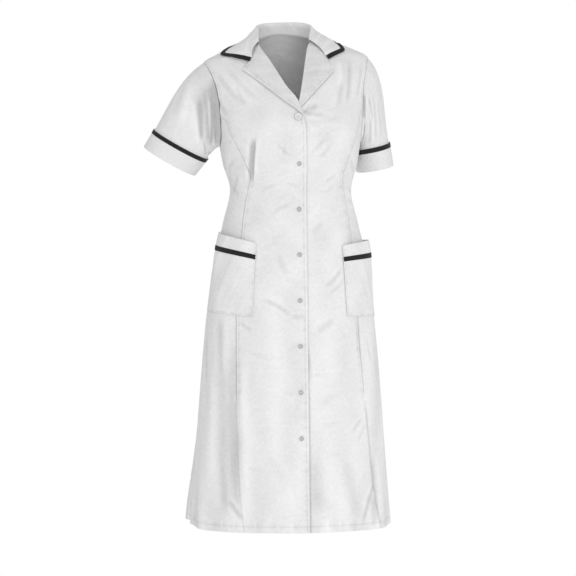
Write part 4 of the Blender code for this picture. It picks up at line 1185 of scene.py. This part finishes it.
def make_lapel(side_name, finish):
    """The turned-back top of the front. Its inner edge rolls round the cut edge of the front."""
    side = -1 if side_name == "right" else 1
    gorge_z = CORNERS[side_name]["gorge"][1]
    roll_z = np.linspace(BREAK_Z + (0.001 if side_name == "right" else 0.004), gorge_z, 60)
    t = np.concatenate([[0.0, 0.02, 0.05], np.linspace(0.09, 0.9, 24), [0.925, 0.95, 0.965, 0.98, 1.0]])
    roll, t = np.broadcast_arrays(roll_z[:, None], t[None, :])
    x, z = lapel_outline(side_name, roll, t)
    under = lap_lift(x, z) if side_name == "right" else np.zeros_like(x)
    s = (roll - BREAK_Z) / (gorge_z - BREAK_Z)
    puff = 1.6 * MM * np.sin(math.pi * t) ** 0.7 * np.clip(2 * s - 0.3, 0, 1)
    phi = angle_at(x, z)
    plain = form(phi, z)
    from_roll, from_edge, along = edge_distances(plain)
    from_gorge = way_along(plain[::-1], 0)[::-1]
    sewn = sewn_edge(np.minimum(from_edge, from_gorge), along, 81, 5.0 * MM)
    soft = 0.35 * MM * waver(along + from_edge, 82, 0.05)
    out = 1.2 * under + LAYER + 0.3 * MM + CLOTH + puff + sewn + soft
    over, height = surface(phi, z, out)
    # Painted shade: the lapel's sewn edges and soft waves, and a darkening over the whole lapel.
    height = height + sewn_shade(sewn) + soft - 0.55 * MM
    turned = []
    for share in (0.15, 0.5, 0.85):
        level = under[:, 0] * (1 + 0.2 * share) + CLOTH / 2 + (out[:, 0] - under[:, 0] - CLOTH / 2) * share
        step = side * (0.5 * math.cos(math.pi * (share - 0.5))) * MM
        turned.append(surface(angle_at(x[:, 0] - step, roll_z), roll_z, level)[0])
    grid = lean(np.concatenate([np.stack(turned, axis=1), over], axis=1))
    height = np.concatenate([height[:, :1], height[:, :1], height[:, :1], height], axis=1)
    if side < 0:
        grid, height = grid[:, ::-1], height[:, ::-1]
    piece = cloth_wall(
        "lapel_" + side_name + "_cloth", grid, finish["cloth"], ["lapel_" + side_name], height=height
    )
    outer = "left" if side < 0 else "right"
    sewing = stitches("lapel_" + side_name + "_stitches", [beside(grid, outer, 5.0 * MM)], finish["thread"])


def piecewise(knots, keys, at):
    """Straight stretches between keys, one set of keys for each point."""
    at = np.clip(at, knots[0], knots[-1])
    i = np.clip(np.searchsorted(knots, at, side="right") - 1, 0, len(knots) - 2)
    t = (at - knots[i]) / (knots[i + 1] - knots[i])
    first = np.take_along_axis(keys, i[None], axis=0)[0]
    second = np.take_along_axis(keys, i[None] + 1, axis=0)[0]
    return first + (second - first) * t


def collar_point(along, across):
    """A point of the collar: along from -1 at the right front to 1 at the left, and across it.

    Across runs 0 at the neck seam, 1 at the roll, and from there over the fall to 3 at its edge.
    """
    along, across = np.broadcast_arrays(np.asarray(along, float), np.asarray(across, float))
    half, side = np.abs(along), np.where(along < 0, -1, 1)
    value = {name: curve_through(*column(NECK, NECK_ROWS, name), half) for name in NECK[1:]}
    front = ease((half - 0.72) / 0.28)
    end = np.clip((half - 0.78) / 0.22, 0, 1)[..., None]
    cut_x = np.where(side < 0, -front_edge_x("right", value["seam_z"]), front_edge_x("left", value["seam_z"]))
    cut_phi = angle_at(cut_x - 1.0 * MM, value["seam_z"])
    seam_phi = np.radians(value["seam_deg"])
    seam_phi = np.where(half > 0.72, seam_phi + (cut_phi - seam_phi) * ease((half - 0.72) / 0.1), seam_phi)
    up = np.array([0.0, 0.0, 1.0])
    seam = form(side * seam_phi, value["seam_z"], -0.8 * MM) + up * 0.6 * MM
    roll_x = side * value["roll_x"] - FRONT_SHIFT * front
    roll = np.stack([roll_x, value["roll_y"], value["roll_z"]], axis=-1)
    away = roll - np.array([0.0, 0.012, 0.0])
    away[..., 2] = 0
    away /= np.linalg.norm(away, axis=-1, keepdims=True)
    thick = 3.0 * MM * (1 - 0.5 * end)
    rolled_in = roll - up * 1.2 * thick
    rolled_out = roll + away * 1.7 * thick - up * 0.9 * thick
    keys = np.stack([seam, (seam + rolled_in) / 2, rolled_in, roll + away * 0.8 * thick, rolled_out], axis=0)
    inner = np.empty(along.shape + (3,))
    for axis in range(3):
        inner[..., axis] = piecewise(np.array([0.0, 0.5, 0.85, 1.0, 1.15]), keys[..., axis], across)
    t = np.clip((across - 1.15) / 1.85, 0, 1)
    tip_phi = np.radians(value["fall_deg"] - 3.6 * side * front)
    to_notch_x = np.where(side < 0, CORNERS["right"]["notch"][0], CORNERS["left"]["notch"][0])
    to_notch_z = np.where(side < 0, CORNERS["right"]["notch"][1], CORNERS["left"]["notch"][1]) + 1.2 * MM
    notch_phi = angle_at(to_notch_x, to_notch_z)
    straight_phi = seam_phi + (tip_phi - seam_phi) * t
    straight_z = value["seam_z"] + (value["fall_z"] - value["seam_z"]) * t
    before = np.clip(t / 0.5, 0, 1)
    after = np.clip((t - 0.5) / 0.5, 0, 1)
    bent_phi = seam_phi + (notch_phi - seam_phi) * before + (tip_phi - notch_phi) * after
    bent_z = value["seam_z"] + (to_notch_z - value["seam_z"]) * before
    bent_z = bent_z + (value["fall_z"] - to_notch_z) * after
    fall_phi = straight_phi + (bent_phi - straight_phi) * end[..., 0]
    fall_z = straight_z + (bent_z - straight_z) * end[..., 0]
    base = form(side * fall_phi, fall_z, LAYER + 1.2 * MM)
    raise_by = rolled_out - form(side * seam_phi, value["seam_z"], LAYER + 1.2 * MM)
    fall = base + raise_by * ((1 - t) ** 1.15)[..., None]
    return np.where(across[..., None] <= 1.15, inner, fall)


def collar_grid(along, across):
    """The collar's outer face, smooth from row to row."""
    rows = collar_point(along[None, :], np.array(COLLAR_ROWS)[:, None])
    return through_rows(COLLAR_ROWS, rows, across)


def make_collar(finish):
    half = np.concatenate([np.linspace(0, 0.9, 52), np.linspace(0.915, 0.985, 7), [0.992, 1.0]])
    along = np.concatenate([-half[:0:-1], half])
    across = np.concatenate([np.linspace(0, 0.8, 10), np.linspace(0.86, 1.4, 12), np.linspace(1.5, 2.8, 20), [2.85, 2.9, 2.94, 2.97, 3.0]])
    grid = collar_grid(along, across)
    out = normals_of(grid)
    way = way_along(grid, 0)
    from_edge = way[-1:] - way
    round_way = way_along(grid, 1)
    soft = 0.45 * MM * waver(round_way + 0.6 * way, 91, 0.07) * np.sin(math.pi * np.clip(way / way[-1:], 0, 1)) ** 0.5
    welt = 0.25 * MM * bump(from_edge - 5.0 * MM, 4.0 * MM)
    grid = lean(grid + out * (CLOTH + soft + welt)[..., None])
    # Painted shade that follows the collar's soft waves, and painted light that makes the whole collar a little
    # lighter.
    shade = 2.0 * soft + 0.5 * MM
    piece = cloth_wall("collar_cloth", grid, finish["cloth"], ["collar"], 1.0 * MM, height=shade)
    sewing = stitches("collar_stitches", [beside(grid, "low", 3.0 * MM)], finish["thread"])
    make_collar_trim(grid, across, finish)


def make_collar_trim(collar, across, finish):
    """The braid along the fall's outer edge and round to the notch: a strip laid on the collar."""
    normal = normals_of(collar)
    way = way_along(collar, 0)
    from_edge = way[-1:] - way
    columns = collar.shape[1]
    side_way = way_along(collar, 1)
    from_end = np.minimum(side_way, side_way[:, -1:] - side_way)
    low_edge = np.argmax(across >= 2.10)
    strip = []
    widths = np.array([-0.9, -0.6, 0.3, 1.2, 3.0, 5.0, 7.0, 8.8, 9.6, 10.0]) * MM
    rise = np.array([-0.6, 0.5, 0.95, 1.0, 1.0, 1.0, 1.0, 1.0, 0.85, 0.2]) * RIBBON

    def along_row(edge_points, inward, up):
        for width, lift in zip(widths, rise):
            strip_row = edge_points + inward * width + up * lift
            yield strip_row

    path, inward, up = trim_path(collar, normal, low_edge)
    rows = []
    for width, lift in zip(widths, rise):
        rows.append(laid_on(collar, normal, path, inward, up, width, lift))
    grid = np.array(rows)
    piece = cloth_wall("collar_trim_braid", grid, finish["braid"], ["collar_trim"], 0.6 * MM)


def trim_path(collar, normal, low_row):
    """The collar's outer edge from notch to notch: points, the way into the cloth, and the normals."""
    left_end = collar[low_row:, 0], normal[low_row:, 0]
    edge = collar[-1], normal[-1]
    right_end = collar[low_row:, -1][::-1], normal[low_row:, -1][::-1]
    path = np.concatenate([left_end[0][:-1], edge[0], right_end[0][1:]])
    up = np.concatenate([left_end[1][:-1], edge[1], right_end[1][1:]])
    way = np.concatenate([[0], np.cumsum(np.linalg.norm(np.diff(path, axis=0), axis=1))])
    even = np.linspace(0, way[-1], 260)
    path = np.stack([np.interp(even, way, path[:, axis]) for axis in range(3)], axis=1)
    up = np.stack([np.interp(even, way, up[:, axis]) for axis in range(3)], axis=1)
    up /= np.linalg.norm(up, axis=1, keepdims=True)
    ahead = np.gradient(path, axis=0)
    ahead /= np.linalg.norm(ahead, axis=1, keepdims=True)
    inward = np.cross(up, ahead)
    return path, inward, up


def laid_on(collar, normal, path, inward, up, width, lift):
    """Points of the braid at one distance from the edge, on the collar's face."""
    wanted = path + inward * width
    flat = collar.reshape(-1, 3)
    flat_normal = normal.reshape(-1, 3)
    points = []
    for place, way_up in zip(wanted, up):
        gap = np.linalg.norm(flat - place, axis=1)
        nearest = np.argsort(gap)[:6]
        weight = 1 / (gap[nearest] + 0.3 * MM) ** 2
        weight /= weight.sum()
        base, tilt = (flat[nearest] * weight[:, None]).sum(axis=0), (flat_normal[nearest] * weight[:, None]).sum(axis=0)
        tilt /= np.linalg.norm(tilt)
        drop = np.dot(place - base, tilt)
        points.append(place - tilt * drop + tilt * lift)
    return np.array(points)


# ---- Button and studs

def on_front(z, lift):
    """The place of a turned piece on the centre front, with its axis along the cloth's normal."""
    step = 1e-3
    middle, height = np.array(0.0), np.array(z)
    base = lean(form(middle, height, lap_lift(0.0, z) + CLOTH + lift))
    upward = lean(form(middle, height + step)) - lean(form(middle, height - step))
    upward /= np.linalg.norm(upward)
    sideways = np.array([1.0, 0.0, 0.0]) - upward * upward[0]
    sideways /= np.linalg.norm(sideways)
    outward = np.cross(sideways, upward)
    turn = np.eye(4)
    turn[:3, 0], turn[:3, 1], turn[:3, 2], turn[:3, 3] = sideways, upward, outward, base
    return Matrix(turn.tolist())


def turned(name, profile, segments=48):
    """A piece turned about its axis from (radius, height), given down its outer side."""
    profile = np.array(profile)
    angles = np.arange(segments) * 2 * math.pi / segments
    radius, height = profile[:, 0][:, None], profile[:, 1][:, None]
    points = np.stack([radius * np.cos(angles), radius * np.sin(angles), height + 0 * angles], axis=-1)
    faces = quads(len(profile), segments, True)[:, ::-1]
    return add_mesh(name, points.reshape(-1, 3), faces)


def rounded(corners, steps=5, radius=0.35 * MM):
    """A profile with its inner corners rounded."""
    points = [np.array(corners[0])]
    for before, corner, after in zip(corners, corners[1:], corners[2:]):
        before, corner, after = np.array(before), np.array(corner), np.array(after)
        into, out = corner - before, after - corner
        cut_in = min(radius, np.linalg.norm(into) * 0.45)
        cut_out = min(radius, np.linalg.norm(out) * 0.45)
        first = corner - into / np.linalg.norm(into) * cut_in
        last = corner + out / np.linalg.norm(out) * cut_out
        for t in np.linspace(0, 1, steps):
            points.append((1 - t) ** 2 * first + 2 * t * (1 - t) * corner + t * t * last)
    points.append(np.array(corners[-1]))
    return points


def make_fastenings(finish):
    r = BUTTON_RADIUS
    profile = rounded((
        (0.0001, 2.0 * MM), (0.55 * r, 2.0 * MM), (0.70 * r, 2.9 * MM), (0.92 * r, 2.9 * MM),
        (r, 2.1 * MM), (r, 1.1 * MM), (0.8 * r, 0.0), (0.0001, 0.0),
    ))
    button = turned("button_1_body", profile)
    for across in (-1, 1):
        for up in (-1, 1):
            bpy.ops.mesh.primitive_cylinder_add(
                vertices=20, radius=0.95 * MM, depth=0.02, location=(across * 1.9 * MM, up * 1.9 * MM, 0)
            )
            hole = bpy.context.object
            drill = button.modifiers.new("hole", "BOOLEAN")
            drill.operation = "DIFFERENCE"
            drill.solver = "EXACT"
            drill.object = hole
            bpy.context.view_layer.objects.active = button
            bpy.ops.object.modifier_apply(modifier=drill.name)
            bpy.data.objects.remove(hole)
    place = on_front(BUTTON_TOP_Z, 0.8 * MM)
    button.matrix_world = place
    button.data.materials.append(finish["plastic"])
    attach(button, "root")
    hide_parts("button_1")
    lines = []
    for sign in (-1, 1):
        start, end = Vector((-1.9 * MM, sign * 1.9 * MM, 1.6 * MM)), Vector((1.9 * MM, sign * 1.9 * MM, 1.6 * MM))
        for offset in (-0.35, 0.0, 0.35):
            path = [place @ start.lerp(end, t) for t in np.linspace(0, 1, 9)]
            arch = [0.75 * MM * math.sin(math.pi * t) for t in np.linspace(0, 1, 9)]
            out = np.array(place.to_3x3() @ Vector((0, 0, 1)))
            side = np.array(place.to_3x3() @ Vector((0, 1, 0))) * offset * MM
            lines.append((np.array([np.array(p) + out * a + side for p, a in zip(path, arch)]), out))
    thread = thread_over(lines, "button_1_thread", finish)
    for i in range(1, BUTTON_COUNT):
        r = STUD_RADIUS
        profile = rounded((
            (0.0001, 1.75 * MM), (0.34 * r, 1.70 * MM), (0.46 * r, 1.30 * MM), (0.62 * r, 1.90 * MM),
            (0.86 * r, 1.8 * MM), (r, 1.0 * MM), (r, 0.0), (0.0001, 0.0),
        ), radius=0.3 * MM)
        stud = turned(f"stud_{i + 1}_ring", profile, 36)
        stud.matrix_world = on_front(BUTTON_TOP_Z - BUTTON_PITCH * i, LAYER_GAP)
        stud.data.materials.append(finish["metal"])
        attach(stud, "root")
        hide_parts(f"stud_{i + 1}")


def thread_over(lines, name, finish, radius=0.22 * MM):
    """Short lengths of thread along paths, as one object."""
    ring = np.arange(6) * 2 * math.pi / 6
    points, faces = [], []
    for path, out in lines:
        ahead = np.gradient(path, axis=0)
        ahead /= np.linalg.norm(ahead, axis=1, keepdims=True)
        side = np.cross(ahead, out)
        side /= np.linalg.norm(side, axis=1, keepdims=True)
        up = np.cross(side, ahead)
        circle = side[:, None] * np.cos(ring)[None, :, None] + up[:, None] * np.sin(ring)[None, :, None]
        start = sum(len(p) for p in points)
        points.append((path[:, None] + circle * radius).reshape(-1, 3))
        faces.append(quads(len(path), 6, True) + start)
    obj = add_mesh(name, np.concatenate(points), np.concatenate(faces))
    obj.data.materials.append(finish["thread"])
    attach(obj, "root")
    return obj


# ---- Materials

class Value:
    """A number in a material's nodes, worked out with the usual operators."""

    def __init__(self, tree, socket):
        self.tree = tree
        self.socket = socket

    def worked(self, operation, first, second):
        node = self.tree.nodes.new("ShaderNodeMath")
        node.operation = operation
        for slot, value in zip(node.inputs, (first, second)):
            if isinstance(value, Value):
                self.tree.links.new(value.socket, slot)
            else:
                slot.default_value = value
        return Value(self.tree, node.outputs[0])

    def __add__(self, other):
        return self.worked("ADD", self, other)

    __radd__ = __add__

    def __sub__(self, other):
        return self.worked("SUBTRACT", self, other)

    def __rsub__(self, other):
        return self.worked("SUBTRACT", other, self)

    def __mul__(self, other):
        return self.worked("MULTIPLY", self, other)

    __rmul__ = __mul__

    def __pow__(self, other):
        return self.worked("POWER", self, other)


class Finish:
    """One material and its nodes."""

    def __init__(self, name, **constants):
        self.material = bpy.data.materials.new(name)
        self.material.use_nodes = True
        self.tree = self.material.node_tree
        self.shader = self.tree.nodes["Principled BSDF"]
        for socket, value in constants.items():
            self.shader.inputs[socket.replace("_", " ")].default_value = value

    def node(self, kind, settings=(), values=(), output=0):
        """Any node, from its settings and its sockets' values or links. Gives one of its outputs."""
        node = self.tree.nodes.new(kind)
        for name, value in dict(settings).items():
            setattr(node, name, value)
        for name, value in dict(values).items():
            if isinstance(value, Value):
                self.tree.links.new(value.socket, node.inputs[name])
            else:
                node.inputs[name].default_value = value
        return Value(self.tree, node.outputs[output])

    def feed(self, socket, value):
        self.tree.links.new(value.socket, self.shader.inputs[socket])

    def cloth_place(self):
        """Metres across and along the cloth."""
        place = self.node("ShaderNodeUVMap", {"uv_map": "cloth"})
        across = self.node("ShaderNodeSeparateXYZ", {}, {"Vector": place}, 0)
        along = self.node("ShaderNodeSeparateXYZ", {}, {"Vector": place}, 1)
        return place, across, along

    def noise(self, place, size, detail=3.0, roughness=0.5):
        return self.node(
            "ShaderNodeTexNoise", {}, {"Vector": place, "Scale": 1 / size, "Detail": detail, "Roughness": roughness}
        )

    def wave(self, value, length):
        """Between 0 and 1, once each length."""
        turn = value * (2 * math.pi / length)
        return self.node("ShaderNodeMath", {"operation": "SINE"}, {0: turn}) * 0.5 + 0.5

    def shades(self, amount, dark, light):
        return self.node(
            "ShaderNodeMix", {"data_type": "RGBA"}, {0: amount, 6: (*dark, 1), 7: (*light, 1)}, 2
        )

    def relief(self, height, depth, strength=1.0, under=None):
        values = {"Height": height, "Distance": depth, "Strength": strength}
        if under is not None:
            values["Normal"] = under
        return self.node("ShaderNodeBump", {}, values)


def white_cloth():
    """Closely woven polyester and cotton twill: fine diagonal ribs, a soft crumple and a slight sheen."""
    finish = Finish("white_twill", Sheen_Weight=0.05, Sheen_Roughness=0.5, Specular_IOR_Level=0.15)
    place, across, along = finish.cloth_place()
    ribs = finish.wave(across + along, 0.9 * MM)
    threads = finish.wave(across, 0.45 * MM) * finish.wave(along, 0.45 * MM)
    slub = finish.noise(place, 1.6 * MM, 2.0)
    crumpled = finish.noise(place, 7 * MM, 4.0, 0.6)
    patches = finish.noise(place, 45 * MM, 2.0)
    weave = finish.relief(ribs * 0.6 + threads * 0.4 + slub * 0.5, 0.06 * MM, 0.35)
    finish.feed("Normal", finish.relief(crumpled, 1.3 * MM, 0.9, weave))
    # Painted shade in the base colour: the crease shade attribute darkens troughs and lightens ridges, and the crumple
    # noise, also used as the bump, darkens its own troughs. Patches, slub and ribs are the cloth's own uneven tone.
    level = finish.node("ShaderNodeAttribute", {"attribute_name": "painted_crease_shade"}, {}, 2)
    tone = 0.78 + level * 0.30 + (patches - 0.5) * 0.14 + (crumpled - 0.5) * 0.34 + (slub - 0.5) * 0.14 + (ribs - 0.5) * 0.05
    finish.feed("Base Color", finish.shades(tone, (0.46, 0.46, 0.46), (0.93, 0.93, 0.93)))
    finish.feed("Roughness", 0.74 + slub * 0.14)
    return finish.material


def black_braid():
    """Woven braid with slanted ribs that meet along its middle."""
    finish = Finish("black_braid", Specular_IOR_Level=0.3, Sheen_Weight=0.05)
    place, across, along = finish.cloth_place()
    middle = finish.node("ShaderNodeMath", {"operation": "ABSOLUTE"}, {0: along - 0.005})
    ribs = finish.wave(across + middle, 1.5 * MM)
    fuzz = finish.noise(place, 0.7 * MM, 3.0)
    finish.feed("Normal", finish.relief(ribs * 0.8 + fuzz * 0.3, 0.22 * MM, 0.8))
    finish.feed("Base Color", finish.shades(ribs * 0.6 + fuzz * 0.4, (0.004, 0.004, 0.005), (0.016, 0.016, 0.018)))
    finish.feed("Roughness", 0.62 + fuzz * 0.2)
    return finish.material


def thread_finish():
    finish = Finish("white_thread", Sheen_Weight=0.1, Specular_IOR_Level=0.4)
    place = finish.node("ShaderNodeTexCoord", {}, {}, 3)
    twist = finish.noise(place, 0.5 * MM, 2.0)
    finish.feed("Base Color", finish.shades(twist, (0.80, 0.80, 0.81), (0.90, 0.90, 0.90)))
    finish.feed("Roughness", 0.55 + twist * 0.2)
    return finish.material


def plastic():
    finish = Finish("pearl_plastic", Coat_Weight=0.35, Coat_Roughness=0.12, Specular_IOR_Level=0.5)
    place = finish.node("ShaderNodeTexCoord", {}, {}, 3)
    cloudy = finish.noise(place, 3.0 * MM, 3.0)
    across, up = (finish.node("ShaderNodeSeparateXYZ", {}, {"Vector": place}, i) for i in (0, 1))
    # Painted shade: the button darkens towards its rim, as a dark outline.
    rim = ((across * across + up * up) * (1 / BUTTON_RADIUS**2)) ** 7
    tone = 0.80 + (cloudy - 0.5) * 0.3 - rim * 0.9
    finish.feed("Base Color", finish.shades(tone, (0.30, 0.30, 0.30), (0.92, 0.92, 0.91)))
    finish.feed("Roughness", 0.26 + cloudy * 0.12)
    return finish.material


def stud_metal():
    finish = Finish("stud_metal", Metallic=1.0)
    place = finish.node("ShaderNodeTexCoord", {}, {}, 3)
    wear_and_shade = finish.noise(place, 1.0 * MM, 3.0)
    finish.feed("Base Color", finish.shades(wear_and_shade, (0.40, 0.40, 0.41), (0.52, 0.52, 0.53)))
    finish.feed("Roughness", 0.38 + wear_and_shade * 0.2)
    return finish.material


# ---- Camera, light and floor

AIM = Vector((0.0, 0.0, -0.5456))
CAMERA_DEG = -9.0
CAMERA_WAY = 4.5
VIEW_HEIGHT = 1.2672
CAMERA_SHIFT = -5.5 * MM


def aimed(obj, place, target):
    obj.location = place
    obj.rotation_mode = "QUATERNION"
    obj.rotation_quaternion = (Vector(target) - Vector(place)).to_track_quat("-Z", "Y")


def make_camera():
    angle = math.radians(CAMERA_DEG)
    toward = Vector((math.sin(angle), -math.cos(angle), 0.0))
    sideways = Vector((math.cos(angle), math.sin(angle), 0.0)) * CAMERA_SHIFT
    camera = bpy.data.objects.new("camera", bpy.data.cameras.new("camera"))
    bpy.context.scene.collection.objects.link(camera)
    camera.data.sensor_width = 36.0
    camera.data.lens = 36.0 * CAMERA_WAY / VIEW_HEIGHT
    camera.data.clip_end = 60
    aimed(camera, AIM + toward * CAMERA_WAY + sideways, AIM + sideways)
    bpy.context.scene.camera = camera


def soft_light(name, place, target, size, power):
    light = bpy.data.lights.new(name, "AREA")
    light.shape = "RECTANGLE"
    light.size, light.size_y = size
    light.energy = power
    obj = bpy.data.objects.new(name, light)
    bpy.context.scene.collection.objects.link(obj)
    aimed(obj, place, target)


def make_studio():
    """A white studio: bright surroundings that fill the shadows, and large soft lights before the dress."""
    world = bpy.data.worlds.new("studio")
    bpy.context.scene.world = world
    world.use_nodes = True
    nodes, links = world.node_tree.nodes, world.node_tree.links
    fill, seen, mixed, path = (nodes.new(kind) for kind in (
        "ShaderNodeBackground", "ShaderNodeBackground", "ShaderNodeMixShader", "ShaderNodeLightPath",
    ))
    fill.inputs["Color"].default_value = (1.0, 1.0, 1.0, 1)
    fill.inputs["Strength"].default_value = 0.64
    seen.inputs["Color"].default_value = (1, 1, 1, 1)
    seen.inputs["Strength"].default_value = 1.0
    links.new(path.outputs["Is Camera Ray"], mixed.inputs[0])
    links.new(fill.outputs[0], mixed.inputs[1])
    links.new(seen.outputs[0], mixed.inputs[2])
    links.new(mixed.outputs[0], nodes["World Output"].inputs["Surface"])
    soft_light("key", (0.0, -2.2, -0.52), (0, 0, -0.5), (1.2, 1.0), 12.5)
    soft_light("fill", (-3.0, -2.0, -0.5), (0, 0, -0.5), (2.0, 2.0), 10)
    soft_light("side", (3.4, -1.2, -0.5), (0, 0, -0.5), (2.0, 2.0), 19)
    soft_light("back", (0.5, 3.6, 0.6), (0, 0, -0.5), (2.4, 2.4), 40)
    bpy.context.scene.view_settings.view_transform = "Standard"
    ring = np.arange(96) * 2 * math.pi / 96
    points = np.concatenate([[[0, 0, -1.56]], np.stack([1.9 * np.cos(ring), 1.9 * np.sin(ring), np.full(96, -1.56)], axis=1)])
    faces = np.stack([np.zeros(96, int), np.arange(96) + 1, np.roll(np.arange(96) + 1, -1)], axis=1)
    floor = add_mesh("floor", points, faces)
    paint = Finish("floor_paint", Roughness=0.6)
    paint.feed("Base Color", paint.shades(paint.noise(paint.node("ShaderNodeTexCoord", {}, {}, 3), 0.4), (0.86, 0.86, 0.86), (0.90, 0.90, 0.90)))
    floor.data.materials.append(paint.material)


def main():
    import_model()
    finish = {
        "cloth": white_cloth(),
        "braid": black_braid(),
        "thread": thread_finish(),
        "plastic": plastic(),
        "metal": stud_metal(),
    }
    make_camera()
    make_studio()
    make_back(finish)
    for side_name in ("right", "left"):
        make_centre_front(side_name, finish)
        make_side_front(side_name, finish)
        make_sleeve(side_name, finish)
        make_cuff(side_name, finish)
        make_pocket(side_name, finish)
        make_lapel(side_name, finish)
    make_collar(finish)
    make_fastenings(finish)


main()
